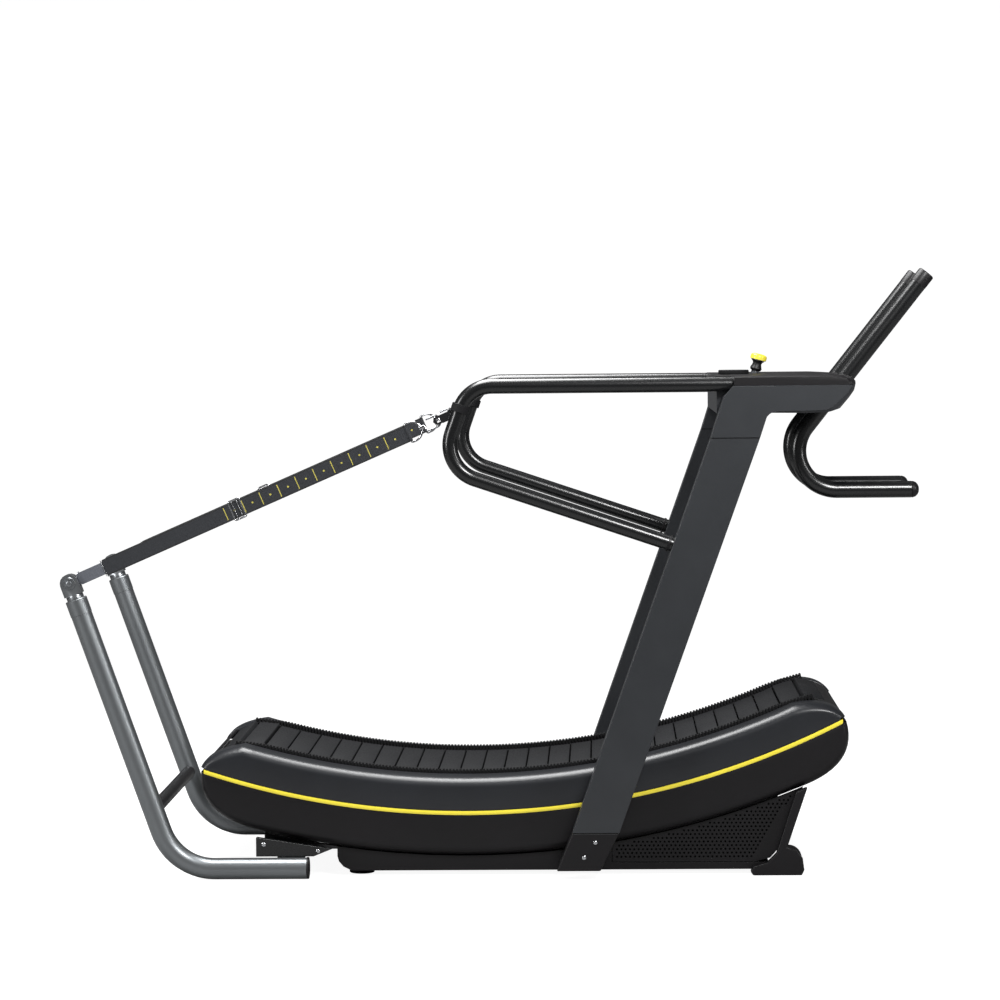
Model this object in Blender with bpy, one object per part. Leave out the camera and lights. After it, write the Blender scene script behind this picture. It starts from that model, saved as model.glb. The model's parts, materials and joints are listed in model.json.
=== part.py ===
"""Curved manual treadmill: slat belt deck, uprights, handrails and a rear strap kit.

Metres, +Z up, +X towards the console, -Y is the right-hand side of somebody running.
"""
import bpy
import bmesh
from math import asin, atan2, cos, pi, radians, sin, sqrt, tan
from mathutils import Vector

GAP = 0.0003            # clearance that touching pieces keep
TUBE_SIDES = 12
SOCKET_SIDES = 16
SIDES = {"right": -1, "left": 1}

# ---- deck: every curve of the deck shares one centre, high above the belt
CENTRE_X = -0.095
CENTRE_Z = 2.365
BELT_TOP_R = 2.104
CREST_R = 2.103
STRIPE_R = 2.196
BOTTOM_R = 2.310
STRIPE_HALF = 0.006
BELT_HALF = 0.270
BELT_THICK = 0.022
SLAT_COUNT = 59
SLAT_GROOVE = 0.004
SLAT_DEPTH = 0.009
DRUM_ZONE = 0.070        # slats whose inside lies this near a drum's axis bend once more
COVER_WALL = 0.004
COVER_IN = 0.285
LOWER_COVER_IN = 0.345
REAR_NOSE_X = -0.803
FRONT_NOSE_X = 0.908
NOSE_STEPS = 5
COVER_STEPS = 10
STRIPE_STATIONS = [-0.76 + 0.135 * k for k in range(13)]

# ---- drums and the brake's flywheel
DRUM_R = 0.085 - BELT_THICK - 0.0018
DRUM_CENTRE_R = BELT_TOP_R + 0.085
REAR_ANGLE = -asin(0.275)
FRONT_ANGLE = asin(0.4165)
JOURNAL_R = 0.0125
FLYWHEEL = (0.600, 0.096)
FLYWHEEL_R = 0.066
PULLEY_Y = (0.318, 0.340)
BRAKE_PIVOT = (0.505, 0.085)

# ---- levelling feet
FOOT_X = -0.380
FOOT_Y = 0.3024
FOOT_HOLE_R = 0.038
FOOT_LIFT = 0.0004      # the deck stands on its posts and front feet until these are wound down

# ---- uprights, console, rails
UPRIGHT_Y = (0.397, 0.462)
UPRIGHT_SEAM = 0.1242
HANDRAIL_Y = 0.420
HANDRAIL_R = 0.020
HANDLEBAR_Y = 0.170
HANDLEBAR_R = 0.0225
HANDLEBAR_REACH = 0.524
CONSOLE_HALF = 0.4612
CONSOLE_SPLIT = 1.2968
CONSOLE_TOP = 1.322
LEVER_PIVOT = (0.683, 0.09, 1.285)
LEVER_LEAN = radians(15)
CUP = (0.628, -0.09)

# ---- rear posts and straps
POST_Y = 0.415
POST_R = 0.0285
POST_TOP = (-1.1225, 0.7465)
POST_LEAN = radians(19.45)
PIN_RISE = 0.045
STRAP_ANGLE = radians(23.4)
STRAP_HALF = 0.0225
STRAP_END = 0.983
RING_BAR = STRAP_END - 0.0045
RING_HALF = 0.0258
RING_LEG = 0.012
HOOK_NOSE = 1.073
HOOK_HALF = 0.0150


# ------------------------------------------------------------------ helpers
def clear_scene():
    for obj in list(bpy.data.objects):
        bpy.data.objects.remove(obj, do_unlink=True)


def finish(colour, metallic, roughness):
    """A plain material, shared by every piece of the same finish."""
    name = "finish_" + "_".join(str(round(c * 100)) for c in colour) + f"_{round(metallic * 10)}"
    material = bpy.data.materials.get(name)
    if material is None:
        material = bpy.data.materials.new(name)
        material.use_nodes = True
        shader = material.node_tree.nodes["Principled BSDF"]
        shader.inputs["Base Color"].default_value = (*colour, 1)
        shader.inputs["Metallic"].default_value = metallic
        shader.inputs["Roughness"].default_value = roughness
    return material


GREY_PLASTIC = finish((0.045, 0.050, 0.061), 0, 0.45)
BLACK_PLASTIC = finish((0.024, 0.022, 0.026), 0, 0.5)
YELLOW = finish((0.87, 0.745, 0.068), 0, 0.4)
BLACK_RUBBER = finish((0.018, 0.018, 0.02), 0, 0.75)
GUNMETAL = finish((0.10, 0.11, 0.115), 0.9, 0.3)
BLACK_PAINT = finish((0.012, 0.013, 0.015), 0.2, 0.3)
GREY_PAINT = finish((0.09, 0.10, 0.11), 0.3, 0.4)
CHROME = finish((0.75, 0.75, 0.78), 1, 0.15)
STEEL = finish((0.4, 0.4, 0.42), 1, 0.35)
WEBBING = finish((0.06, 0.065, 0.08), 0, 0.85)


def add_object(name, bm, material=None, origin=None):
    """Turn a bmesh in world coordinates into an object, with its origin where it turns."""
    bmesh.ops.remove_doubles(bm, verts=bm.verts, dist=1e-7)
    bmesh.ops.recalc_face_normals(bm, faces=bm.faces)
    mesh = bpy.data.meshes.new(name)
    if origin is not None:
        bmesh.ops.translate(bm, verts=bm.verts, vec=-Vector(origin))
    bm.to_mesh(mesh)
    bm.free()
    mesh.shade_smooth()
    mesh.set_sharp_from_angle(angle=radians(35))
    obj = bpy.data.objects.new(name, mesh)
    if origin is not None:
        obj.location = origin
    bpy.context.scene.collection.objects.link(obj)
    if material is not None:
        mesh.materials.append(material)
    return obj


def boolean(obj, tool, operation):
    modifier = obj.modifiers.new(operation.lower(), "BOOLEAN")
    modifier.object = tool
    modifier.operation = operation
    modifier.solver = "EXACT"
    tool.hide_render = True
    tool.display_type = "WIRE"


def cut(obj, *tools):
    for tool in tools:
        boolean(obj, tool, "DIFFERENCE")


def weld(obj, *tools):
    for tool in tools:
        boolean(obj, tool, "UNION")


def loft(name, rings, material=None, origin=None, closed=False):
    """Skin a list of equal-length point rings; the ends are capped unless closed."""
    bm = bmesh.new()
    grid = [[bm.verts.new(point) for point in ring] for ring in rings]
    count = len(grid[0])
    pairs = list(zip(grid, grid[1:]))
    if closed:
        pairs.append((grid[-1], grid[0]))
    for lower, upper in pairs:
        for i in range(count):
            j = (i + 1) % count
            bm.faces.new((lower[i], lower[j], upper[j], upper[i]))
    if not closed:
        bm.faces.new(list(reversed(grid[0])))
        bm.faces.new(grid[-1])
    return add_object(name, bm, material, origin)


def prism(name, outline, y0, y1, material=None, origin=None):
    """Extrude an outline of (x, z) points from y0 to y1."""
    rings = [[(x, y, z) for x, z in outline] for y in (y0, y1)]
    return loft(name, rings, material, origin)


def block(name, x0, x1, y0, y1, z0, z1, material=None, origin=None):
    return prism(name, [(x0, z0), (x1, z0), (x1, z1), (x0, z1)], y0, y1, material, origin)


def frame_of(axis):
    """Two unit vectors square to an axis."""
    axis = Vector(axis).normalized()
    helper = Vector((0, 1, 0)) if abs(axis.y) < 0.9 else Vector((1, 0, 0))
    side = axis.cross(helper).normalized()
    return axis, side, axis.cross(side)


def turned(name, start, axis, profile, sides=20, material=None, origin=None):
    """Revolve (distance along axis, radius) pairs; every radius is above zero."""
    axis, u, v = frame_of(axis)
    rings = []
    for along, radius in profile:
        centre = Vector(start) + axis * along
        ring = [centre + radius * (cos(a) * u + sin(a) * v)
                for a in (2 * pi * k / sides for k in range(sides))]
        rings.append(ring)
    return loft(name, rings, material, origin)


def rod(name, start, end, radius, sides=16, material=None, origin=None):
    length = (Vector(end) - Vector(start)).length
    axis = Vector(end) - Vector(start)
    return turned(name, start, axis, [(0, radius), (length, radius)], sides, material, origin)


def rounded_path(corners, radii, step=radians(12)):
    """A polyline through the corners, each inner corner turned into an arc."""
    points = [Vector(corners[0])]
    for before, corner, after, radius in zip(corners, corners[1:], corners[2:], radii):
        a = (Vector(before) - Vector(corner)).normalized()
        b = (Vector(after) - Vector(corner)).normalized()
        half = a.angle(b) / 2
        reach = radius / tan(half)
        centre = Vector(corner) + (a + b).normalized() * (radius / sin(half))
        first = Vector(corner) + a * reach - centre
        last = Vector(corner) + b * reach - centre
        turn = first.angle(last)
        count = max(2, round(turn / step))
        for k in range(count + 1):
            f = k / count
            points.append(centre + first * (sin((1 - f) * turn) / sin(turn))
                          + last * (sin(f * turn) / sin(turn)))
    points.append(Vector(corners[-1]))
    return points


def swept(name, path, radius, sides=14, material=None, origin=None, round_end=False):
    """A round bar along a path in a plane of constant y."""
    rings = []
    for i, point in enumerate(path):
        before = path[max(i - 1, 0)]
        after = path[min(i + 1, len(path) - 1)]
        tangent = (after - before).normalized()
        side = Vector((0, 1, 0))
        other = tangent.cross(side).normalized()
        rings.append([point + radius * (cos(a) * side + sin(a) * other)
                      for a in (2 * pi * k / sides for k in range(sides))])
    if round_end:
        tangent = (path[-1] - path[-2]).normalized()
        for turn in (35, 70):
            reach = radius * sin(radians(turn))
            shrink = cos(radians(turn))
            rings.append([path[-1] + tangent * reach + (Vector(p) - path[-1]) * shrink
                          for p in rings[len(path) - 1]])
    return loft(name, rings, material, origin)


# ------------------------------------------------------------------ deck curves
def deck_z(radius, x):
    return CENTRE_Z - sqrt(radius * radius - (x - CENTRE_X) ** 2)


def stripe_line(radius, x0, x1):
    """The stripe's arc between two ends; its inner stations are the same for every radius."""
    return [(x, deck_z(radius, x)) for x in [x0, *STRIPE_STATIONS, x1]]


def deck_arc(radius, x0, x1, count):
    step = (x1 - x0) / count
    return [(x0 + step * k, deck_z(radius, x0 + step * k)) for k in range(count + 1)]


def band(x0, x1, top, bottom, count=20):
    return deck_arc(top, x0, x1, count) + deck_arc(bottom, x1, x0, count)


def polar(radius, angle):
    return Vector((CENTRE_X + radius * sin(angle), 0, CENTRE_Z - radius * cos(angle)))


REAR_DRUM = polar(DRUM_CENTRE_R, REAR_ANGLE)
FRONT_DRUM = polar(DRUM_CENTRE_R, FRONT_ANGLE)


def bezier(p0, control, p1, count):
    """Points of a quadratic curve, without its first point."""
    points = []
    for k in range(1, count + 1):
        f = k / count
        points.append(tuple((1 - f) ** 2 * a + 2 * f * (1 - f) * c + f * f * b
                            for a, c, b in zip(p0, control, p1)))
    return points


def crest_line(drop, pull):
    """From the rear nose over the crest to the front nose."""
    rear = (REAR_NOSE_X + pull, deck_z(STRIPE_R - STRIPE_HALF, REAR_NOSE_X))
    front = (FRONT_NOSE_X - pull, deck_z(STRIPE_R - STRIPE_HALF, FRONT_NOSE_X))
    radius = CREST_R + drop
    start = (-0.690, deck_z(radius, -0.690))
    end = (0.770, deck_z(radius, 0.770))
    line = [rear] + bezier(rear, (-0.785 + pull, 0.335 - drop), start, NOSE_STEPS)
    line += deck_arc(radius, -0.690, 0.770, COVER_STEPS)[1:]
    return line + bezier(end, (0.868 - pull, 0.470 - drop), front, NOSE_STEPS)


def bottom_line(drop, pull):
    """From the front nose under the deck to the rear nose."""
    front = (FRONT_NOSE_X + 0.004 - pull, deck_z(STRIPE_R + STRIPE_HALF, FRONT_NOSE_X))
    rear = (REAR_NOSE_X + pull, deck_z(STRIPE_R + STRIPE_HALF, REAR_NOSE_X))
    radius = BOTTOM_R - drop
    start = (0.780, deck_z(radius, 0.780))
    end = (-0.660, deck_z(radius, -0.660))
    line = [front] + bezier(front, (0.946 - pull, 0.285 + drop), start, NOSE_STEPS)
    line += deck_arc(radius, 0.780, -0.660, COVER_STEPS)[1:]
    return line + bezier(end, (-0.814 + pull, 0.165 + drop), rear, NOSE_STEPS)


def upper_outline(drop, pull):
    seam = stripe_line(STRIPE_R - STRIPE_HALF, REAR_NOSE_X + pull + 0.001,
                       FRONT_NOSE_X - pull - 0.001)
    return crest_line(drop, pull) + seam[::-1]


def lower_outline(drop, pull):
    return bottom_line(drop, pull) + stripe_line(STRIPE_R + STRIPE_HALF,
                                                 REAR_NOSE_X + pull + 0.001,
                                                 FRONT_NOSE_X + 0.003 - pull)


def whole_outline(drop, pull):
    return crest_line(drop, pull) + bottom_line(drop, pull)


# each side cover's outer edge: sideways place, drop of its crest, pull-in of its noses
ROUNDING = [(0.350, 0.0, 0.0), (0.373, 0.006, 0.003), (0.385, 0.024, 0.012)]


def side_loft(name, outline, side, inner, wall, material=None):
    """A cover's side skin: full size inside, rounded off towards its outer face."""
    stations = [(inner, wall, wall)] + [(y - wall, drop + wall, pull + wall)
                                        for y, drop, pull in ROUNDING]
    rings = [[(x, side * y, z) for x, z in outline(drop, pull)] for y, drop, pull in stations]
    return loft(name, rings, material)


def make_covers():
    for word, side in SIDES.items():
        for part, outline, inner, material in (
                ("upper", upper_outline, COVER_IN, GREY_PLASTIC),
                ("lower", lower_outline, LOWER_COVER_IN, BLACK_PLASTIC)):
            cover = side_loft(f"{part}_cover_{word}", outline, side, inner, 0, material)
            hollow = side_loft(f"cut_{part}_{word}", whole_outline, side, inner - 0.02, COVER_WALL)
            cut(cover, hollow)
        half = STRIPE_HALF - 3 * GAP
        ends = (REAR_NOSE_X + 0.014, FRONT_NOSE_X - 0.012)
        strip = stripe_line(STRIPE_R - half, *ends) + stripe_line(STRIPE_R + half, *ends)[::-1]
        y0, y1 = sorted((side * 0.3815, side * 0.3862))
        prism(f"stripe_{word}", strip, y0, y1, YELLOW)


def skin(line, thickness):
    """Close a polyline into a thin strip by offsetting it along its normals."""
    inner = []
    for i, (x, z) in enumerate(line):
        ax, az = line[max(i - 1, 0)]
        bx, bz = line[min(i + 1, len(line) - 1)]
        length = sqrt((bx - ax) ** 2 + (bz - az) ** 2)
        inner.append((x - (bz - az) / length * thickness, z + (bx - ax) / length * thickness))
    return line + list(reversed(inner))


def make_end_covers():
    """The covers that close the deck's ends across its width, under the drums."""
    half = LOWER_COVER_IN - GAP
    rear = bottom_line(0, 0)[-NOSE_STEPS - 1:]
    rear = [(-0.470, deck_z(BOTTOM_R, -0.470)), (-0.565, deck_z(BOTTOM_R, -0.565))] + rear
    prism("rear_end_cover", skin(rear, -COVER_WALL), -half, half, BLACK_PLASTIC)
    front = bottom_line(0, 0)[:NOSE_STEPS + 1]
    prism("front_end_cover", skin(front, -COVER_WALL), -half, half, BLACK_PLASTIC)


# ------------------------------------------------------------------ running surface
def belt_length():
    sweep = FRONT_ANGLE - REAR_ANGLE
    middle = 0.085 - BELT_THICK / 2
    return sweep * (2 * DRUM_CENTRE_R) + 2 * pi * middle, middle


def belt_point(distance, height):
    """A point of the belt's loop, `height` outside its middle line."""
    total, middle = belt_length()
    distance %= total
    sweep = FRONT_ANGLE - REAR_ANGLE
    runs = ((DRUM_CENTRE_R - middle) * sweep, pi * middle, (DRUM_CENTRE_R + middle) * sweep)
    if distance < runs[0]:
        return polar(DRUM_CENTRE_R - middle - height, REAR_ANGLE + distance / runs[0] * sweep)
    distance -= runs[0]
    if distance < runs[1]:
        turn = FRONT_ANGLE + pi - distance / middle
        out = Vector((sin(turn), 0, -cos(turn)))
        return FRONT_DRUM + out * (middle + height)
    distance -= runs[1]
    if distance < runs[2]:
        return polar(DRUM_CENTRE_R + middle + height, FRONT_ANGLE - distance / runs[2] * sweep)
    turn = REAR_ANGLE - (distance - runs[2]) / middle
    out = Vector((sin(turn), 0, -cos(turn)))
    return REAR_DRUM + out * (middle + height)


def make_belt():
    """One endless ring of slats: the grooves between them leave a thin carcass."""
    total, _ = belt_length()
    pitch = total / SLAT_COUNT
    high = BELT_THICK / 2
    low = high - SLAT_DEPTH
    rings = []
    for k in range(SLAT_COUNT):
        middle = belt_point((k + 0.5) * pitch, -high)
        profile = [(0, low), (SLAT_GROOVE / 2, high), (pitch - SLAT_GROOVE / 2, high)]
        if min((middle - REAR_DRUM).length, (middle - FRONT_DRUM).length) < DRUM_ZONE:
            profile.insert(2, (pitch / 2, high))
        for along, outer in profile:
            top = belt_point(k * pitch + along, outer)
            base = belt_point(k * pitch + along, -high)
            rings.append([(p.x, y, p.z) for p, y in ((top, -BELT_HALF), (top, BELT_HALF),
                                                     (base, BELT_HALF), (base, -BELT_HALF))])
    loft("slat_belt", rings, BLACK_RUBBER, closed=True)


def make_drums():
    body = [(-0.306, JOURNAL_R), (-0.268, JOURNAL_R), (-0.266, DRUM_R), (0.266, DRUM_R),
            (0.268, JOURNAL_R), (0.306, JOURNAL_R)]
    turned("rear_drum", REAR_DRUM, (0, 1, 0), body, 24, STEEL, REAR_DRUM)
    y0, y1 = PULLEY_Y
    pulley = [(-y1, 0.045), (-y0, 0.045), (-y0 + 0.001, JOURNAL_R)]
    turned("front_drum", FRONT_DRUM, (0, 1, 0), pulley + body[1:], 24, STEEL, FRONT_DRUM)


def disc(name, centre, radius, y0, y1, sides=16):
    start = Vector((centre[0], y0, centre[-1]))
    return rod(name, start, start + Vector((0, y1 - y0, 0)), radius, sides)


def make_track_rails():
    """Curved side plates with an inner shelf that carries the slats' ends."""
    for word, side in SIDES.items():
        y0, y1 = sorted((side * 0.276, side * 0.2905))
        plate = prism(f"track_rail_{word}",
                      band(REAR_DRUM.x - 0.006, FRONT_DRUM.x + 0.010,
                           BELT_TOP_R + 0.040, BELT_TOP_R + 0.127, 12),
                      y0, y1, GREY_PAINT)
        y0, y1 = sorted((side * 0.225, side * 0.280))
        shelf = prism(f"weld_shelf_{word}", band(-0.590, 0.725, BELT_TOP_R + 0.0255, BELT_TOP_R + 0.065, 10), y0, y1)
        weld(plate, shelf)
        for end, centre in (("rear", REAR_DRUM), ("front", FRONT_DRUM)):
            y0, y1 = sorted((side * 0.272, side * (0.305 if end == "rear" else 0.2905)))
            eye = disc(f"weld_eye_{end}_{word}", centre, 0.036, y0, y1)
            weld(plate, eye)
            y0, y1 = sorted((side * 0.26, side * 0.32))
            cut(plate, disc(f"cut_eye_{end}_{word}", centre, JOURNAL_R + GAP, y0, y1))


def make_bearings():
    """The front drum's bearing blocks; the rear drum turns in bosses on the rails."""
    centre = FRONT_DRUM
    for word, side in SIDES.items():
        y0, y1 = sorted((side * 0.2908, side * 0.305))
        bearing = block(f"front_bearing_{word}", centre.x - 0.030, centre.x + 0.030, y0, y1,
                        centre.z - 0.026, centre.z + 0.026, STEEL)
        y0, y1 = sorted((side * 0.28, side * 0.32))
        cut(bearing, disc(f"cut_bearing_{word}", centre, JOURNAL_R + GAP, y0, y1))


# ------------------------------------------------------------------ base
def make_base_frame():
    """Side arms, cross members and posts to the track rails."""
    frame = block("base_frame", -0.300, -0.250, -0.300, 0.300, 0.022, 0.046, GREY_PAINT)
    for k, (x0, x1) in enumerate(((0.020, 0.060), (0.400, 0.440), (0.655, 0.685))):
        weld(frame, block(f"weld_cross_{k}", x0, x1, -0.302, 0.302, 0.021, 0.047))
    weld(frame, block("weld_front_cross", 0.700, 0.728, -0.3555, 0.3555, 0.070, 0.100))
    for word, side in SIDES.items():
        y0, y1 = sorted((side * 0.2908, side * 0.314))
        arm = [(-0.640, 0.065)] + deck_arc(2.320, -0.640, -0.340, 4) + [(-0.300, 0.052),
               (0.650, 0.052), (0.700, 0.071), (0.727, 0.098), (0.727, 0.071), (0.690, 0.020),
               (-0.395, 0.020), (-0.440, 0.065)]
        weld(frame, prism(f"weld_arm_{word}", arm, y0, y1))
        for k, x in enumerate((-0.300, 0.282, FLYWHEEL[0])):
            top = deck_z(2.175, x)
            weld(frame, block(f"weld_post_{word}_{k}", x - 0.026 + k * 0.001, x + 0.026, y0, y1,
                              0.030, top))
        cut(frame, rod(f"cut_foot_thread_{word}", (FOOT_X, side * FOOT_Y, -0.02),
                       (FOOT_X, side * FOOT_Y, 0.0495), 0.0063, 12))
    start = (FLYWHEEL[0], -0.36, FLYWHEEL[1])
    cut(frame, rod("cut_shaft_bore", start, (FLYWHEEL[0], -0.27, FLYWHEEL[1]), 0.0104))
    weld(frame, block("weld_brake_post", 0.493, 0.517, -0.212, -0.196, 0.040, 0.098))
    weld(frame, block("weld_brake_foot", 0.405, 0.516, -0.2125, -0.1955, 0.0225, 0.0455))
    x, z = BRAKE_PIVOT
    weld(frame, rod("weld_brake_pin", (x, -0.268, z), (x, -0.2, z), 0.0055, 12))


def make_cross_bars():
    """Under the rear, a bar with a plate at each end for the posts; a bar ties the uprights."""
    bracket = block("rear_bracket", -0.600, -0.530, -0.3860, 0.3860, 0.0440, 0.0646, BLACK_PAINT)
    plate = [(-0.655, 0.0575), (-0.655, 0.1085), (-0.560, 0.0930), (-0.452, 0.0775),
             (-0.502, 0.0575)]
    for word, side in SIDES.items():
        y0, y1 = sorted((side * 0.3800, side * 0.4010))
        weld(bracket, prism(f"weld_bracket_{word}", plate, y0, y1))
    block("upright_bar", 0.186, 0.236, -0.3965, 0.3965, 0.0525, 0.0725, GREY_PAINT)


def make_belly_cover():
    """A tray under the deck, low at the front where the grilles stand on it."""
    top = deck_arc(BOTTOM_R + 0.003, 0.288, -0.442, 9)
    outline = [(-0.442, 0.052), (-0.438, 0.038), (-0.426, 0.024), (-0.404, 0.013),
               (0.690, 0.013), (0.704, 0.021), (0.704, 0.032), (0.288, 0.032)] + top
    tray = prism("belly_cover", outline, -0.360, 0.360, BLACK_PLASTIC)
    wall = 0.004
    inner = [(-0.438, 0.30), (-0.438, 0.055), (-0.434, 0.041), (-0.423, 0.028), (-0.403, 0.017),
             (0.688, 0.017), (0.700, 0.024), (0.700, 0.30)]
    cut(tray, prism("cut_belly", inner, -0.360 + wall, 0.360 - wall))
    for word, side in SIDES.items():
        y0, y1 = sorted((side * 0.350, side * 0.370))
        cut(tray, block(f"cut_flange_{word}", 0.180, 0.242, y0, y1, 0.047, 0.078))
        cut(tray, rod(f"cut_foot_hole_{word}", (FOOT_X, side * FOOT_Y, -0.02),
                      (FOOT_X, side * FOOT_Y, 0.03), FOOT_HOLE_R, 14))
    cut(tray, block("cut_belly_back", -0.46, -0.43, -0.352, 0.352, 0.060, 0.2))


def make_grilles():
    top = deck_arc(BOTTOM_R + 0.0015, 0.796, 0.290, 9)
    outline = top + [(0.290, 0.0335), (0.668, 0.0335), (0.708, 0.043), (0.734, 0.072),
                     (0.757, 0.120)]
    for word, side in SIDES.items():
        y0, y1 = sorted((side * 0.3562, side * 0.3602))
        prism(f"grille_{word}", outline, y0, y1, BLACK_PLASTIC)


def make_front_feet():
    """A raised leg beside each grille's front edge, its foot, and a transport wheel."""
    outline = [(0.776, 0.2215), (0.806, 0.2325), (0.752, 0.074), (0.776, 0.066), (0.793, 0.044),
               (0.797, 0.014), (0.790, 0.0), (0.662, 0.0), (0.655, 0.010), (0.664, 0.024),
               (0.700, 0.034), (0.724, 0.058), (0.738, 0.100)]
    for word, side in SIDES.items():
        y0, y1 = sorted((side * 0.3608, side * 0.392))
        foot = prism(f"front_foot_{word}", outline, y0, y1, BLACK_PLASTIC)
        x, z = 0.757, 0.0385
        axle = rod(f"weld_wheel_axle_{word}", (x, side * 0.326, z), (x, side * 0.370, z), 0.006, 12)
        weld(foot, axle)
        tyre = [(0, 0.030), (0.004, 0.0355), (0.018, 0.0355), (0.022, 0.030)]
        wheel = turned(f"transport_wheel_{word}", (x, side * 0.332, z), (0, side, 0), tyre, 18,
                       BLACK_RUBBER, (x, side * 0.332, z))
        cut(wheel, rod(f"cut_wheel_{word}", (x, side * 0.32, z), (x, side * 0.38, z), 0.0064, 12))


def make_levelling_feet():
    profile = [(0, 0.0315), (0.0015, 0.0345), (0.006, 0.0345), (0.0085, 0.014), (0.0088, 0.006),
               (0.040, 0.006)]
    for word, side in SIDES.items():
        place = (FOOT_X, side * FOOT_Y, FOOT_LIFT)
        turned(f"levelling_foot_{word}", place, (0, 0, 1), profile, 14, BLACK_RUBBER, place)


# ------------------------------------------------------------------ brake
def make_flywheel():
    x, z = FLYWHEEL
    y0, y1 = PULLEY_Y
    profile = [(-y1, 0.020), (-y0, 0.020), (-y0 + 0.001, 0.010), (-0.262, 0.010),
               (-0.260, FLYWHEEL_R), (-0.225, FLYWHEEL_R), (-0.223, 0.014), (-0.214, 0.014)]
    turned("flywheel", (x, 0, z), (0, 1, 0), profile, 24, STEEL, (x, 0, z))


def loop_round(centres, radii, offset, count=9):
    """The taut loop round two pulleys, as matching points for any offset."""
    (x0, z0), (x1, z1) = centres
    distance = sqrt((x1 - x0) ** 2 + (z1 - z0) ** 2)
    heading = atan2(z1 - z0, x1 - x0)
    lean = asin((radii[1] - radii[0]) / distance)
    points = []
    for (x, z), radius, start, sweep in (
            ((x0, z0), radii[0], heading + pi / 2 + lean, pi - 2 * lean),
            ((x1, z1), radii[1], heading - pi / 2 - lean, pi + 2 * lean)):
        for k in range(count + 1):
            turn = start + sweep * k / count
            points.append((x + (radius + offset) * cos(turn), z + (radius + offset) * sin(turn)))
    return points


def make_drive_belt():
    """A ribbed belt from the front drum's pulley down to the flywheel's."""
    centres = (FLYWHEEL, (FRONT_DRUM.x, FRONT_DRUM.z))
    outer = loop_round(centres, (0.020, 0.045), 0.0045)
    inner = loop_round(centres, (0.020, 0.045), 0.0008)
    y0, y1 = -PULLEY_Y[1] + 0.002, -PULLEY_Y[0] - 0.002
    rings = [[(a[0], y0, a[1]), (a[0], y1, a[1]), (b[0], y1, b[1]), (b[0], y0, b[1])]
             for a, b in zip(outer, inner)]
    loft("drive_belt", rings, BLACK_RUBBER, closed=True)


def make_brake_arm():
    """A shoe with magnets that hugs the flywheel's rim and swings away from it."""
    x, z = FLYWHEEL
    near, far = FLYWHEEL_R + 0.003, FLYWHEEL_R + 0.019
    first, last, count = radians(118), radians(190), 8
    turns = [first + (last - first) * k / count for k in range(count + 1)]
    outline = [(x + near * cos(t), z + near * sin(t)) for t in turns]
    outline += [(x + far * cos(t), z + far * sin(t)) for t in reversed(turns)]
    px, pz = BRAKE_PIVOT
    arm = prism("brake_arm", outline, -0.262, -0.224, GREY_PAINT, (px, -0.243, pz))
    weld(arm, disc("weld_brake_eye", (px, pz), 0.0135, -0.2625, -0.2235))
    cut(arm, disc("cut_brake_eye", (px, pz), 0.0059, -0.30, -0.20))


# ------------------------------------------------------------------ uprights and rails
def handrail_path(side, step=radians(18)):
    y = side * HANDRAIL_Y
    corners = [(0.639, y, 1.300), (-0.081, y, 1.300), (-0.156, y, 1.087), (0.4675, y, 0.8765)]
    return rounded_path(corners, (0.087, 0.095), step)


def handlebar_path(side):
    y = side * HANDLEBAR_Y
    lean = radians(51.7)
    centre = Vector((0.902, y, 1.115))
    bend = 0.105
    top = centre + bend * Vector((-sin(lean), 0, cos(lean)))
    along = Vector((cos(lean), 0, sin(lean)))
    points = [top + along * reach for reach in (HANDLEBAR_REACH, 0.17, 0.04, 0)]
    count = 8
    for k in range(1, count + 1):
        turn = lean + pi / 2 + (pi - lean) * k / count
        points.append(centre + bend * Vector((cos(turn), 0, sin(turn))))
    points.append(Vector((1.102, y, centre.z - bend)))
    return points


def make_uprights():
    """Leaning posts with a block at the floor; each rail ends in a socket in its post."""
    outline = [(0.1845, UPRIGHT_SEAM), (0.3083, UPRIGHT_SEAM), (0.6827, 1.160), (0.7000, 1.2130),
               (0.7220, 1.2790), (0.7220, 1.2962), (0.6140, 1.2962), (0.5880, 1.2680),
               (0.5539, 1.160)]
    foot = [(0.1430, 0.024), (0.2580, 0.024), (0.3080, 0.1238), (0.1842, 0.1238)]
    for word, side in SIDES.items():
        y0, y1 = sorted((side * UPRIGHT_Y[0], side * UPRIGHT_Y[1]))
        post = prism(f"upright_{word}", outline, y0, y1, GREY_PAINT)
        y = side * HANDRAIL_Y
        cut(post, rod(f"cut_rail_top_{word}", (0.50, y, 1.300), (0.6395, y, 1.300),
                      HANDRAIL_R + 0.0005, SOCKET_SIDES))
        end = Vector((0.4675, y, 0.8765))
        along = Vector((0.6235, 0, -0.2105)).normalized()
        cut(post, rod(f"cut_rail_low_{word}", end - along * 0.1, end + along * 0.0005,
                      HANDRAIL_R + 0.0005, SOCKET_SIDES))
        prism(f"upright_foot_{word}", foot, y0, y1, BLACK_PLASTIC)


def make_rails():
    for word, side in SIDES.items():
        swept(f"handrail_{word}", handrail_path(side), HANDRAIL_R, TUBE_SIDES, BLACK_PAINT)
        swept(f"handlebar_{word}", handlebar_path(side), HANDLEBAR_R, TUBE_SIDES, BLACK_PAINT,
              round_end=True)


def bulge(y):
    """How far the console's front stands out in the middle of its width."""
    return 0.030 * (1 - (y / CONSOLE_HALF) ** 2)


# across the console: sideways place, and how much its section shrinks there
CONSOLE_STATIONS = ((-CONSOLE_HALF, 0.010), (0.007 - CONSOLE_HALF, 0.002), (-0.30, 0), (-0.10, 0),
                    (0.10, 0), (0.30, 0), (CONSOLE_HALF - 0.007, 0.002), (CONSOLE_HALF, 0.010))


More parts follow.
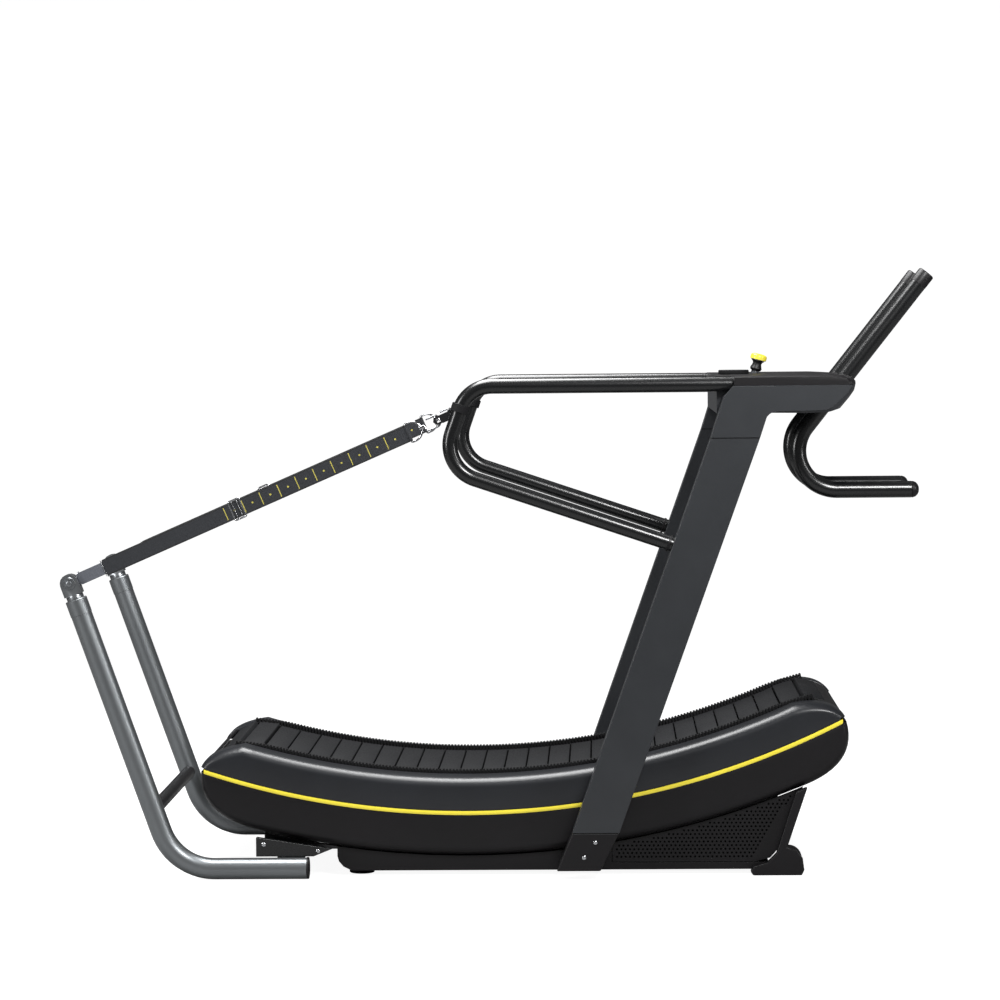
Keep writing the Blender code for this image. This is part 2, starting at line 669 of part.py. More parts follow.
def console_rings(outline):
    """Rings across the console; `outline(b, s)` gives the section for a bulge and a shrink."""
    return [[(x, y, z) for x, z in outline(bulge(y), shrink)] for y, shrink in CONSOLE_STATIONS]


def console_body_section(b, s):
    return [(0.7232, 1.2228 + s), (0.800, 1.2220 + s), (0.861 + b - s, 1.2240 + s),
            (0.884 + b - s, 1.2320 + s), (0.908 + b - s, 1.2600), (0.922 + b - s, 1.2800),
            (0.926 + b - s, CONSOLE_SPLIT - GAP), (0.7232, CONSOLE_SPLIT - GAP)]


def console_tray_section(b, s):
    return [(0.616, CONSOLE_SPLIT), (0.926 + b - s, CONSOLE_SPLIT), (0.9255 + b - s, 1.3050),
            (0.917 + b - s, 1.3140), (0.896 + b - s, CONSOLE_TOP - 0.0015 - s * 0.4),
            (0.862, CONSOLE_TOP - s * 0.4), (0.616, CONSOLE_TOP - s * 0.4)]


def make_console():
    """A hollow housing across both uprights, with its darker tray on top."""
    body = loft("console_body", console_rings(console_body_section), GREY_PAINT)
    weld(body, block("weld_console_rear", 0.572, 0.740, -0.3962, 0.3962, 1.2235, 1.2960))
    tray = loft("console_tray", console_rings(console_tray_section), BLACK_PLASTIC)
    weld(tray, block("weld_tray_rear", 0.570, 0.640, -0.396, 0.396, CONSOLE_SPLIT + 0.0004,
                     CONSOLE_TOP - 0.0006))
    for word, side in SIDES.items():
        y = side * HANDRAIL_Y
        cut(tray, rod(f"cut_tray_rail_{word}", (0.50, y, 1.300), (0.6395, y, 1.300),
                      HANDRAIL_R + 0.0005, SOCKET_SIDES))
        path = handlebar_path(side)
        lower = path[3] - (path[0] - path[3]).normalized() * 0.05
        for obj, part in ((body, "body"), (tray, "tray")):
            cut(obj, rod(f"cut_{part}_bar_{word}", lower, path[0], HANDLEBAR_R + 0.0006, SOCKET_SIDES))
    cut(body, block("cut_console_hollow", 0.580, 0.700, -0.388, 0.388, 1.2275, 1.35))
    x, y = CUP
    cut(tray, rod("cut_tray_cup", (x, y, 1.25), (x, y, 1.35), 0.0368, 18))
    lx, ly, _ = LEVER_PIVOT
    cut(tray, block("cut_tray_slot", lx - 0.030, lx + 0.036, ly - 0.0125, ly + 0.0125, 1.25, 1.35))
    weld(body, block("weld_lever_shelf", lx - 0.012, lx + 0.012, ly - 0.030, ly - 0.0135, 1.2255,
                     1.2945))
    weld(body, rod("weld_lever_pin", (lx, ly - 0.020, 1.285), (lx, ly + 0.006, 1.285), 0.0035, 12))


def make_bottle_holder():
    x, y = CUP
    holder = turned("bottle_holder", (x, y, 1.2400), (0, 0, 1),
                    [(0, 0.030), (0.004, 0.0345), (0.0825, 0.0360), (0.0828, 0.0420),
                     (0.094, 0.0400)], 18, BLACK_RUBBER)
    cut(holder, turned("cut_cup", (x, y, 1.2440), (0, 0, 1), [(0, 0.030), (0.12, 0.0335)], 18))


def make_lever():
    """The resistance lever turns on a pin in the console; its cap is pressed on."""
    axis = Vector((sin(LEVER_LEAN), 0, cos(LEVER_LEAN)))
    lever = turned("resistance_lever", Vector(LEVER_PIVOT) - axis * 0.010, axis,
                   [(0, 0.0095), (0.014, 0.0095), (0.020, 0.0070), (0.052, 0.0070),
                    (0.054, 0.0165), (0.074, 0.0120), (0.086, 0.0190)],
                   14, GREY_PAINT, LEVER_PIVOT)
    x, y, z = LEVER_PIVOT
    cut(lever, rod("cut_lever_bore", (x, y - 0.03, z), (x, y + 0.03, z), 0.0039, 12))
    start = Vector(LEVER_PIVOT) + axis * (0.076 + GAP)
    turned("lever_cap", start, axis, [(0, 0.0225), (0.012, 0.0225), (0.016, 0.0170),
                                      (0.0172, 0.006)], 16, YELLOW, LEVER_PIVOT)


# ------------------------------------------------------------------ rear posts and straps
POST_AXIS = Vector((-sin(POST_LEAN), 0, cos(POST_LEAN)))
POST_ACROSS = Vector((cos(POST_LEAN), 0, sin(POST_LEAN)))


def post_top(side):
    return Vector((POST_TOP[0], side * POST_Y, POST_TOP[1]))


def strap_pin(side):
    return post_top(side) + POST_AXIS * PIN_RISE


def strap_point(side, along, up, out=0.0):
    """A place on the strap: distance from its pin, height above its line, sideways."""
    e = Vector((cos(STRAP_ANGLE), 0, sin(STRAP_ANGLE)))
    n = Vector((-sin(STRAP_ANGLE), 0, cos(STRAP_ANGLE)))
    return strap_pin(side) + e * along + n * up + Vector((0, out, 0))


def strap_outline(side, pairs):
    return [(p.x, p.z) for p in (strap_point(side, a, t) for a, t in pairs)]


def make_rear_posts():
    for word, side in SIDES.items():
        top = post_top(side)
        drop = (top.z - POST_R) / cos(POST_LEAN)
        corner = top - POST_AXIS * drop
        path = rounded_path([top, corner, (-0.512, top.y, POST_R)], (0.150,), radians(14))
        swept(f"rear_post_{word}", path, POST_R, TUBE_SIDES, GUNMETAL)
    height = 0.185
    x = POST_TOP[0] + (POST_TOP[1] - height) * tan(POST_LEAN)
    brace = rod("cross_brace", (x, -0.405, height), (x, 0.405, height), 0.018, TUBE_SIDES, BLACK_PAINT)
    for word, side in SIDES.items():
        top = post_top(side)
        cut(brace, rod(f"cut_brace_{word}", top - POST_AXIS * 0.10, top - POST_AXIS * 0.66,
                       POST_R + 0.0006, SOCKET_SIDES))


def make_swivel_heads():
    """A clevis that turns on the post's end and holds the strap's pin."""
    for word, side in SIDES.items():
        top = post_top(side)

        def place(across, along):
            p = top + POST_ACROSS * across + POST_AXIS * along
            return (p.x, p.z)

        outline = [place(-0.0245, 0.012)]
        outline += [place(0.0245 * cos(t), PIN_RISE + 0.0245 * sin(t))
                    for t in (pi - pi * k / 8 for k in range(9))]
        outline += [place(0.0245, 0.012)]
        y = side * POST_Y
        head = prism(f"swivel_head_{word}", outline, y - 0.021, y + 0.021, GUNMETAL, top)
        weld(head, turned(f"weld_neck_{word}", top + POST_AXIS * GAP, POST_AXIS,
                          [(0, 0.0235), (0.010, 0.0235), (0.0165, 0.0205)], 14))
        slot = [place(-0.0125, PIN_RISE - 0.012), place(0.05, PIN_RISE - 0.020),
                place(0.05, 0.12), place(-0.0125, 0.12)]
        cut(head, prism(f"cut_slot_{word}", slot, y - 0.0042, y + 0.0042))
        pin = strap_pin(side)
        weld(head, rod(f"weld_pin_{word}", pin - Vector((0, 0.018, 0)), pin + Vector((0, 0.018, 0)),
                       0.0050, 12))


def make_straps():
    """Webbing sewn to a flat eye; its faces stand upright, like the strap's markings."""
    for word, side in SIDES.items():
        eye = [(0.0112 * cos(t), 0.0112 * sin(t)) for t in
               (radians(50) + radians(260) * k / 10 for k in range(11))]
        outline = eye + [(0.030, -0.0112), (0.038, -STRAP_HALF), (STRAP_END, -STRAP_HALF),
                         (STRAP_END, STRAP_HALF), (0.038, STRAP_HALF), (0.030, 0.0112)]
        y = side * POST_Y
        strap = prism(f"strap_{word}", strap_outline(side, outline), y - 0.002, y + 0.002, WEBBING,
                      strap_pin(side))
        pin = strap_pin(side)
        cut(strap, rod(f"cut_strap_eye_{word}", pin - Vector((0, 0.02, 0)),
                       pin + Vector((0, 0.02, 0)), 0.0054, 14))
        weld(strap, rod(f"weld_loop_end_{word}", strap_point(side, RING_BAR, -STRAP_HALF),
                        strap_point(side, RING_BAR, STRAP_HALF), 0.0052, 12))
        cut(strap, rod(f"cut_ring_bar_{word}", strap_point(side, RING_BAR, -0.03),
                       strap_point(side, RING_BAR, 0.03), 0.0033, 12))


def make_buckles():
    for word, side in SIDES.items():
        y = side * POST_Y
        middle = 0.485
        outer = [(middle - 0.018, -0.0275), (middle + 0.018, -0.0275), (middle + 0.018, 0.0275),
                 (middle - 0.018, 0.0275)]
        inner = [(middle - 0.03, -0.0231), (middle + 0.03, -0.0231), (middle + 0.03, 0.0231),
                 (middle - 0.03, 0.0231)]
        buckle = prism(f"strap_buckle_{word}", strap_outline(side, outer), y - 0.0055, y + 0.0055,
                       CHROME, strap_point(side, middle, 0))
        cut(buckle, prism(f"cut_buckle_{word}", strap_outline(side, inner), y - 0.0025, y + 0.0025))


def make_rings():
    """A D-ring in the strap's end loop, its straight bar through the webbing's slot."""
    for word, side in SIDES.items():
        leg = RING_BAR + RING_LEG
        corners = [(RING_BAR, 0.0), (RING_BAR, -RING_HALF), (leg, -RING_HALF)]
        bend = [(leg + RING_HALF * sin(t), -RING_HALF * cos(t))
                for t in (pi * k / 10 for k in range(1, 10))]
        path = corners + bend + [(leg, RING_HALF), (RING_BAR, RING_HALF)]
        points = [strap_point(side, a, t) for a, t in path]
        rings = []
        for i, point in enumerate(points):
            tangent = (points[(i + 1) % len(points)] - points[i - 1]).normalized()
            other = tangent.cross(Vector((0, 1, 0))).normalized()
            rings.append([point + 0.0028 * (cos(a) * Vector((0, 1, 0)) + sin(a) * other)
                          for a in (2 * pi * k / 7 for k in range(7))])
        loft(f"d_ring_{word}", rings, CHROME, strap_point(side, RING_BAR, 0), closed=True)


def make_snap_hooks():
    """A hook whose barrel holds the D-ring's round end, and its sprung gate."""
    for word, side in SIDES.items():
        ring = RING_BAR + RING_LEG + RING_HALF
        barrel = rod(f"snap_hook_{word}", strap_point(side, ring - 0.0065, 0),
                     strap_point(side, ring + 0.0085, 0), 0.0065, 10, CHROME)
        cut(barrel, rod(f"cut_hook_eye_{word}", strap_point(side, ring - 0.0006, -0.02),
                        strap_point(side, ring - 0.0006, 0.02), 0.0047, 12))
        first = ring + 0.0070
        corners = [(first, 0.0), (first + 0.007, -HOOK_HALF), (HOOK_NOSE - 0.012, -HOOK_HALF),
                   (HOOK_NOSE, -0.004), (HOOK_NOSE, 0.004), (HOOK_NOSE - 0.010, HOOK_HALF - 0.0005)]
        path = rounded_path([strap_point(side, a, t) for a, t in corners],
                            (0.004, 0.008, 0.004, 0.004), radians(40))
        weld(barrel, swept(f"weld_hook_{word}", path, 0.0030, 8))
        ear = [strap_point(side, first, 0.001),
               strap_point(side, first + 0.007, HOOK_HALF - 0.001)]
        weld(barrel, swept(f"weld_ear_{word}", ear, 0.0032, 8))
        hinge = strap_point(side, first + 0.0114, HOOK_HALF - 0.0005)
        swept(f"hook_gate_{word}", [strap_point(side, first + 0.0117, HOOK_HALF - 0.0005),
                                    strap_point(side, HOOK_NOSE - 0.0140, HOOK_HALF - 0.0005)],
              0.0026, 8, CHROME, hinge)


def keeper_reach(side):
    """Where the strap's line meets the handrail: centre, direction, distance from the pin."""
    path = handrail_path(side, radians(2))
    e = Vector((cos(STRAP_ANGLE), 0, sin(STRAP_ANGLE)))
    start = strap_pin(side)

    def miss(i):
        offset = path[i] - start
        offset.y = 0
        return (offset - e * offset.dot(e)).length

    nearest = min(range(4, len(path) // 2), key=miss)
    along = (path[nearest + 1] - path[nearest - 1]).normalized()
    return path[nearest], along, (path[nearest] - start).dot(e)


def make_keepers():
    """A band round each handrail's bend with a flat loop beside the parked hook."""
    for word, side in SIDES.items():
        centre, along, reach = keeper_reach(side)
        keeper = turned(f"rail_keeper_{word}", centre - along * 0.011, along,
                        [(0, HANDRAIL_R + 0.0032), (0.001, HANDRAIL_R + 0.0044),
                         (0.021, HANDRAIL_R + 0.0044), (0.022, HANDRAIL_R + 0.0032)], 16,
                        WEBBING)
        lug_y = side * (POST_Y + 0.0090)
        loop = [(HOOK_NOSE - 0.016, -0.0110), (reach, -0.0110), (reach, 0.0110),
                (HOOK_NOSE - 0.016, 0.0110), (HOOK_NOSE - 0.022, 0.0)]
        weld(keeper, prism(f"weld_loop_{word}", strap_outline(side, loop), lug_y - 0.0015,
                           lug_y + 0.0015))
        window = [(HOOK_NOSE - 0.013, -0.0060), (HOOK_NOSE - 0.001, -0.0060),
                  (HOOK_NOSE - 0.001, 0.0060), (HOOK_NOSE - 0.013, 0.0060)]
        cut(keeper, prism(f"cut_loop_{word}", strap_outline(side, window), lug_y - 0.01,
                          lug_y + 0.01))
        rail = handrail_path(side)[:-1]
        cut(keeper, swept(f"cut_keeper_{word}", rail, HANDRAIL_R + 0.0010, SOCKET_SIDES))


def main():
    clear_scene()
    make_base_frame()
    make_cross_bars()
    make_belly_cover()
    make_track_rails()
    make_bearings()
    make_drums()
    make_belt()
    make_flywheel()
    make_drive_belt()
    make_brake_arm()
    make_covers()
    make_end_covers()
    make_grilles()
    make_front_feet()
    make_levelling_feet()
    make_uprights()
    make_rails()
    make_console()
    make_bottle_holder()
    make_lever()
    make_rear_posts()
    make_swivel_heads()
    make_straps()
    make_buckles()
    make_rings()
    make_snap_hooks()
    make_keepers()


main()
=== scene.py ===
# %% [markdown]
# # Curved manual treadmill
# A machine with no motor: the runner turns a belt of slats on a curved deck. The bare mechanism
# comes in as a fixed frame of closed solids, one for each part. This lesson gives each of them
# its real surface. Round bars, covers and webbing are made again with finer shapes, and the
# parts whose shape is right already get softened edges and a proper finish.

# %% Load the frame
import json
from math import asin, atan2, cos, pi, radians, sin, sqrt, tan

import bmesh
import bpy
from mathutils import Matrix, Vector


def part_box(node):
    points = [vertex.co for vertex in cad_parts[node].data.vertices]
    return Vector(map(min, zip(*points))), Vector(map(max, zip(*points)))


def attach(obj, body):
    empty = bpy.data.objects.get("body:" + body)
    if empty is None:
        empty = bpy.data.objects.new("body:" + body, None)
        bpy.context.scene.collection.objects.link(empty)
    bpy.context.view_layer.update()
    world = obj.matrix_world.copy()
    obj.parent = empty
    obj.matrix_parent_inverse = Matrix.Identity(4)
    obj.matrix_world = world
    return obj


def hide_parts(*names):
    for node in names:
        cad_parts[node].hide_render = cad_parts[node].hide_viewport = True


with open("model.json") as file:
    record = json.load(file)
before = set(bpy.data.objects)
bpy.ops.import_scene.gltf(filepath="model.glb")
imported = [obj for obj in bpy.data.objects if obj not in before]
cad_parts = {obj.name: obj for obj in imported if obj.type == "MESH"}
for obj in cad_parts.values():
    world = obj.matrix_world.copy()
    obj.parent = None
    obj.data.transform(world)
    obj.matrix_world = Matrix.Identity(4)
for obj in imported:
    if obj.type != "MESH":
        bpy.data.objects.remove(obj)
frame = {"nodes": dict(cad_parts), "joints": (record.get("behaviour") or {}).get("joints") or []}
nodes = frame["nodes"]
joints = {joint["name"]: joint for joint in frame["joints"]}
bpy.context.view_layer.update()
SIDES = {"right": -1, "left": 1}

# %% [markdown]
# ## Camera
# A side view from a long way off, as product pictures are made: a long lens keeps the near
# and far rails almost the same size. The camera comes first because every look is judged
# through it.

# %% Camera
camera_data = bpy.data.cameras.new("camera")
camera_data.lens = 127.8
camera_data.sensor_width = 36
camera = bpy.data.objects.new("camera", camera_data)
bpy.context.scene.collection.objects.link(camera)
across = Vector((0.99957, 0.02812, -0.00872))
upward = Vector((0.00735, 0.04836, 0.99880))
facing = Matrix((across, upward, across.cross(upward))).transposed().to_quaternion()
camera.matrix_world = Matrix.Translation((0.267, -9.737, 1.450)) @ facing.to_matrix().to_4x4()
bpy.context.scene.camera = camera
print("camera at", camera.matrix_world.translation)

# %% [markdown]
# ## Two small tools for finishes
# Colours are written as the hex values that a paint card gives, and one function turns them
# into the linear numbers that a renderer works with. A second one adds any node to any tree.


# %% Colour and node helpers
def linear(code):
    """An sRGB hex code as a linear colour with alpha."""
    parts = [int(code[i:i + 2], 16) / 255 for i in (1, 3, 5)]
    return (*[c / 12.92 if c <= 0.04045 else ((c + 0.055) / 1.055) ** 2.4 for c in parts], 1)


def add_node(tree, kind, inputs=None, **settings):
    """Add a node; an input that is given a socket is linked, any other is a value."""
    made = tree.nodes.new(kind)
    for key, value in settings.items():
        setattr(made, key, value)
    for key, value in (inputs or {}).items():
        if isinstance(value, bpy.types.NodeSocket):
            tree.links.new(value, made.inputs[key])
        else:
            made.inputs[key].default_value = value
    return made


def new_finish(name):
    """A new material, with its tree, its shader and its Object coordinates."""
    material = bpy.data.materials.new(name)
    material.use_nodes = True
    tree = material.node_tree
    place = add_node(tree, "ShaderNodeTexCoord").outputs["Object"]
    return material, tree, tree.nodes["Principled BSDF"], place


def mixed(tree, factor, first, second):
    """Mix a colour (a hex code or a socket) with a second one, given as a code."""
    mix = add_node(tree, "ShaderNodeMix", {"Factor": factor}, data_type="RGBA")
    if isinstance(first, str):
        mix.inputs["A"].default_value = linear(first)
    else:
        tree.links.new(first, mix.inputs["A"])
    mix.inputs["B"].default_value = linear(second)
    return mix.outputs["Result"]


# %% [markdown]
# ## Moulded, painted and plated finishes
# Most of the machine is one of three things: moulded ABS with a spark-eroded grain, steel under
# powder coat or lacquer, and bright plated fittings. They share a recipe: a slow cloud that
# varies the colour by a few per cent, and a fine grain that breaks up the gloss and lifts the
# surface by some hundredths of a millimetre. Grain sizes are real ones, but the finest are drawn
# at about 1 mm, because a finer grain would not show from where the camera stands.


# %% The shared recipe
def grained(name, dark, light, grain_mm, rough, bump_mm, metallic=0.0, coat=0.0, ior=1.5,
            shine=0.5):
    """A finish with cloudy colour, a grain in its gloss, and a bump of the same grain."""
    material, tree, shader, place = new_finish(name)
    cloud = add_node(tree, "ShaderNodeTexNoise", {"Vector": place, "Scale": 9.0, "Detail": 3.0})
    grain = add_node(tree, "ShaderNodeTexNoise",
                     {"Vector": place, "Scale": 1000 / grain_mm / 2, "Detail": 2.0})
    tint = mixed(tree, cloud.outputs["Fac"], dark, light)
    gloss = add_node(tree, "ShaderNodeMapRange",
                     {"Value": grain.outputs["Fac"], "From Min": 0.3, "From Max": 0.7,
                      "To Min": rough[0], "To Max": rough[1]})
    lift = add_node(tree, "ShaderNodeBump", {"Height": grain.outputs["Fac"],
                                             "Distance": bump_mm / 1000, "Strength": 0.6})
    tree.links.new(tint, shader.inputs["Base Color"])
    tree.links.new(gloss.outputs["Result"], shader.inputs["Roughness"])
    tree.links.new(lift.outputs["Normal"], shader.inputs["Normal"])
    shader.inputs["Metallic"].default_value = metallic
    shader.inputs["Coat Weight"].default_value = coat
    shader.inputs["Coat Roughness"].default_value = 0.12
    shader.inputs["Specular IOR Level"].default_value = shine
    if not metallic:
        shader.inputs["IOR"].default_value = ior
    return material


# Moulded ABS, grey, with a fine spark-eroded grain: a soft wide highlight on each crest.
GREY_ABS = grained("grey_moulded_abs", "#191a1d", "#212327", 1.2, (0.28, 0.40), 0.05, ior=1.53,
                   shine=0.4)
# Moulded ABS, near black with a hint of plum: the same grain, a little duller.
BLACK_ABS = grained("black_moulded_abs", "#0b0a0b", "#121013", 1.2, (0.34, 0.48), 0.05, ior=1.53,
                    shine=0.3)
# Printed and varnished vinyl: even and bright, with a thin gloss over it.
YELLOW_VINYL = grained("yellow_vinyl", "#e9d63a", "#f2e145", 3.0, (0.28, 0.34), 0.01, coat=0.3)
# EPDM rubber on the slats: dusty, with a coarse moulded tooth.
SLAT_RUBBER = grained("slat_epdm_rubber", "#0b0c0e", "#131417", 2.4, (0.50, 0.70), 0.16, ior=1.48,
                      shine=0.3)
# The toothed edge strip and the belts are softer and blacker.
BLACK_RUBBER = grained("black_rubber", "#0f0f10", "#171719", 2.0, (0.6, 0.8), 0.08, ior=1.48,
                       shine=0.2)
# Tube under a thick gloss powder coat: black, with long hard highlights.
BLACK_COAT = grained("black_powder_coat", "#050607", "#090a0c", 1.0, (0.24, 0.32), 0.008,
                     coat=0.25)
# Tube under metallic lacquer: the flakes are bright and the clear coat over them is smooth.
GUNMETAL = grained("gunmetal_lacquer", "#7a7d80", "#868a8c", 1.0, (0.34, 0.44), 0.01,
                   metallic=0.9, coat=0.15)
# The same lacquer over machined heads, where it is thin and lets the steel through.
BRIGHT_GUNMETAL = grained("thin_gunmetal_lacquer", "#85888b", "#96999c", 1.0, (0.28, 0.38), 0.01,
                          metallic=0.95, coat=0.1)
# Steel plate under satin powder coat: mid grey with an orange-peel surface.
SATIN_GREY = grained("satin_grey_powder_coat", "#26282b", "#303236", 1.6, (0.34, 0.44), 0.04,
                     metallic=0.25, coat=0.15)
# Zinc and chrome plate on the fittings: it mirrors the studio.
PLATED = grained("bright_chrome_plate", "#b8babd", "#cccdd0", 4.0, (0.08, 0.16), 0.003,
                 metallic=1.0)
# Turned steel on drums, flywheel and bearings.
TURNED_STEEL = grained("turned_steel", "#77797c", "#8d8f92", 1.5, (0.25, 0.42), 0.02,
                       metallic=1.0)
print("grained finishes", len(bpy.data.materials))

# %% [markdown]
# ## Woven webbing
# The pulling straps are flat woven webbing, 45 mm wide. The weave is two crossed sets of
# ribs, along and across the strap, so its pattern is turned to lie with the strap's own line.
# Real picks are about 1.5 mm apart and are drawn at 3 mm to show.

# %% Webbing
STRAP_ANGLE = radians(23.4)


def woven(name, dark, light, rib_mm):
    """Crossed ribs in a frame turned to lie along the strap, with a fuzzy sheen."""
    material, tree, shader, place = new_finish(name)
    turned = add_node(tree, "ShaderNodeMapping", {"Vector": place,
                                                  "Rotation": (0, STRAP_ANGLE, 0)})
    ribs = [add_node(tree, "ShaderNodeTexWave",
                     {"Vector": turned.outputs["Vector"], "Scale": 2 * pi / 20 * 1000 / rib_mm,
                      "Distortion": 0.4, "Detail": 1.0},
                     wave_type="BANDS", bands_direction=direction).outputs["Fac"]
            for direction in ("X", "Z")]
    weave = add_node(tree, "ShaderNodeMath", {0: ribs[0], 1: ribs[1]}, operation="MULTIPLY")
    tint = mixed(tree, weave.outputs["Value"], dark, light)
    lift = add_node(tree, "ShaderNodeBump", {"Height": weave.outputs["Value"],
                                             "Distance": 0.0005, "Strength": 0.8})
    tree.links.new(tint, shader.inputs["Base Color"])
    tree.links.new(lift.outputs["Normal"], shader.inputs["Normal"])
    shader.inputs["Roughness"].default_value = 0.8
    shader.inputs["Sheen Weight"].default_value = 0.1
    shader.inputs["Sheen Roughness"].default_value = 0.4
    shader.inputs["IOR"].default_value = 1.53
    return material


WEBBING = woven("polyester_webbing", "#14161a", "#2f3239", 3.0)
TAB_WEBBING = woven("folded_webbing_tab", "#4a4d54", "#6b6e76", 3.0)
print("woven finishes", WEBBING.name, TAB_WEBBING.name)

# %% [markdown]
# ## Marks woven into the strap
# The strap carries a thin yellow line across it every 52 mm and a dot halfway
# between, so that two people can set both sides alike. The marks are in the cloth, not on it:
# a distance along the strap, measured from its pin, decides the colour of each thread.

# %% Measured marks
MARK_PITCH, MARK_WIDTH, DOT_R = 0.0515, 0.0024, 0.0026
MARKS_FROM, MARKS_TO, SELVEDGE = 0.440, 0.960, 0.0190
FIRST_MARK, MARK_HALF = 0.555, 0.0170


def marked(material, pin):
    """Mix yellow lines and dots, and darker selvedges, into a woven finish."""
    tree = material.node_tree
    shader = tree.nodes["Principled BSDF"]
    cloth = shader.inputs["Base Color"].links[0].from_socket
    origin = (pin.x * cos(STRAP_ANGLE) + pin.z * sin(STRAP_ANGLE), 0,
              -pin.x * sin(STRAP_ANGLE) + pin.z * cos(STRAP_ANGLE))
    place = add_node(tree, "ShaderNodeTexCoord").outputs["Object"]
    turned = add_node(tree, "ShaderNodeMapping",
                      {"Vector": place, "Rotation": (0, STRAP_ANGLE, 0),
                       "Location": (-origin[0], 0, -origin[2])})
    parts = add_node(tree, "ShaderNodeSeparateXYZ", {"Vector": turned.outputs["Vector"]})

    def maths(operation, *values):
        return add_node(tree, "ShaderNodeMath", dict(enumerate(values)),
                        operation=operation).outputs["Value"]

    along = maths("ADD", parts.outputs["X"], 20 * MARK_PITCH - FIRST_MARK)
    step = maths("PINGPONG", along, MARK_PITCH / 2)
    within = maths("LESS_THAN", maths("ABSOLUTE", parts.outputs["Z"]), MARK_HALF)
    line = maths("MULTIPLY", maths("LESS_THAN", step, MARK_WIDTH / 2), within)
    from_dot = maths("SUBTRACT", MARK_PITCH / 2, step)
    across = maths("MULTIPLY", parts.outputs["Z"], parts.outputs["Z"])
    spread = maths("SQRT", maths("ADD", maths("MULTIPLY", from_dot, from_dot), across))
    mark = maths("MAXIMUM", line, maths("LESS_THAN", spread, DOT_R))
    inside = maths("MULTIPLY", maths("GREATER_THAN", parts.outputs["X"], MARKS_FROM),
                   maths("LESS_THAN", parts.outputs["X"], MARKS_TO))
    edge = maths("GREATER_THAN", maths("ABSOLUTE", parts.outputs["Z"]), SELVEDGE)
    darker = mixed(tree, edge, cloth, "#0d0e11")
    yellow = mixed(tree, maths("MULTIPLY", mark, inside), darker, "#b3a848")
    tree.links.new(yellow, shader.inputs["Base Color"])


strap_pin = Vector(joints["strap_right_swing"]["pos_m"])
marked(WEBBING, strap_pin)
print("marks from", MARKS_FROM, "to", MARKS_TO, "m from the pin")

# %% [markdown]
# ## Helpers for meshes
# A loft skins a row of equal rings, which makes covers and turned parts. A bar follows a path:
# Geometry Nodes sweep a circle along it. Pieces that are the right shape in the frame are
# copied, their loose triangles merged and joined into flat faces, and their edges bevelled,
# because a sharp edge never catches the light the way a real one does.


# %% Plain mesh helpers
def make_piece(name, mesh_data, material):
    """Finish a bmesh as an object at the origin, smooth apart from its real corners."""
    bmesh.ops.remove_doubles(mesh_data, verts=mesh_data.verts, dist=1e-6)
    bmesh.ops.recalc_face_normals(mesh_data, faces=mesh_data.faces)
    mesh = bpy.data.meshes.new(name)
    mesh_data.to_mesh(mesh)
    mesh_data.free()
    mesh.materials.append(material)
    mesh.shade_smooth()
    mesh.set_sharp_from_angle(angle=radians(38))
    piece = bpy.data.objects.new(name, mesh)
    bpy.context.scene.collection.objects.link(piece)
    return piece


def skin(mesh_data, rings, capped=True):
    """Add a skin over equal rings of points to a bmesh."""
    grid = [[mesh_data.verts.new(point) for point in ring] for ring in rings]
    for first, second in zip(grid, grid[1:]):
        for i in range(len(first)):
            j = (i + 1) % len(first)
            mesh_data.faces.new((first[i], first[j], second[j], second[i]))
    if capped:
        mesh_data.faces.new(list(reversed(grid[0])))
        mesh_data.faces.new(grid[-1])


def loft(name, rings, material):
    mesh_data = bmesh.new()
    skin(mesh_data, rings)
    return make_piece(name, mesh_data, material)


def lathe(name, start, axis, profile, material, sides=48):
    """Turn (distance along the axis, radius) pairs round an axis."""
    axis = Vector(axis).normalized()
    u = axis.orthogonal().normalized()
    v = axis.cross(u)
    turns = [2 * pi * k / sides for k in range(sides)]
    rings = [[Vector(start) + axis * along + radius * (cos(t) * u + sin(t) * v) for t in turns]
             for along, radius in profile]
    return loft(name, rings, material)


def put(piece, body, slot, *stands_for):
    """Put a piece on the body it rides on and hide the solids it stands for; slot is not used."""
    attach(piece, body)
    if stands_for:
        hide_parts(*stands_for)
    print(piece.name, len(piece.data.polygons), "faces, rides on", body)
    return piece


def turned(name, start, axis, profile, material, body, slot, *stands_for, sides=48):
    """A lathed piece, put on its body."""
    return put(lathe(name, start, axis, profile, material, sides), body, slot, *stands_for)


def softened(node, material, width, body, slot, segments=3):
    """A copy of a frame solid with merged faces and rounded edges."""
    mesh_data = bmesh.new()
    mesh_data.from_mesh(nodes[node].data)
    bmesh.ops.remove_doubles(mesh_data, verts=mesh_data.verts, dist=2e-6)
    bmesh.ops.dissolve_limit(mesh_data, angle_limit=radians(1.5), verts=mesh_data.verts,
                             edges=mesh_data.edges)
    piece = make_piece(node + "_softened", mesh_data, material)
    bevel = piece.modifiers.new("edges", "BEVEL")
    bevel.width = width
    bevel.segments = segments
    bevel.limit_method = "ANGLE"
    bevel.angle_limit = radians(38)
    bevel.harden_normals = True
    return put(piece, body, slot, node)


# %% [markdown]
# ## Helpers for Geometry Nodes
# Two trees do nearly all the repeating work. One sweeps a round bar along a path. The other
# sets copies of a small shape along a path at an even spacing, each turned to the path's
# direction about the sideways axis, which is how slats sit round their drums. The result of a
# tree is turned into a plain mesh at once.


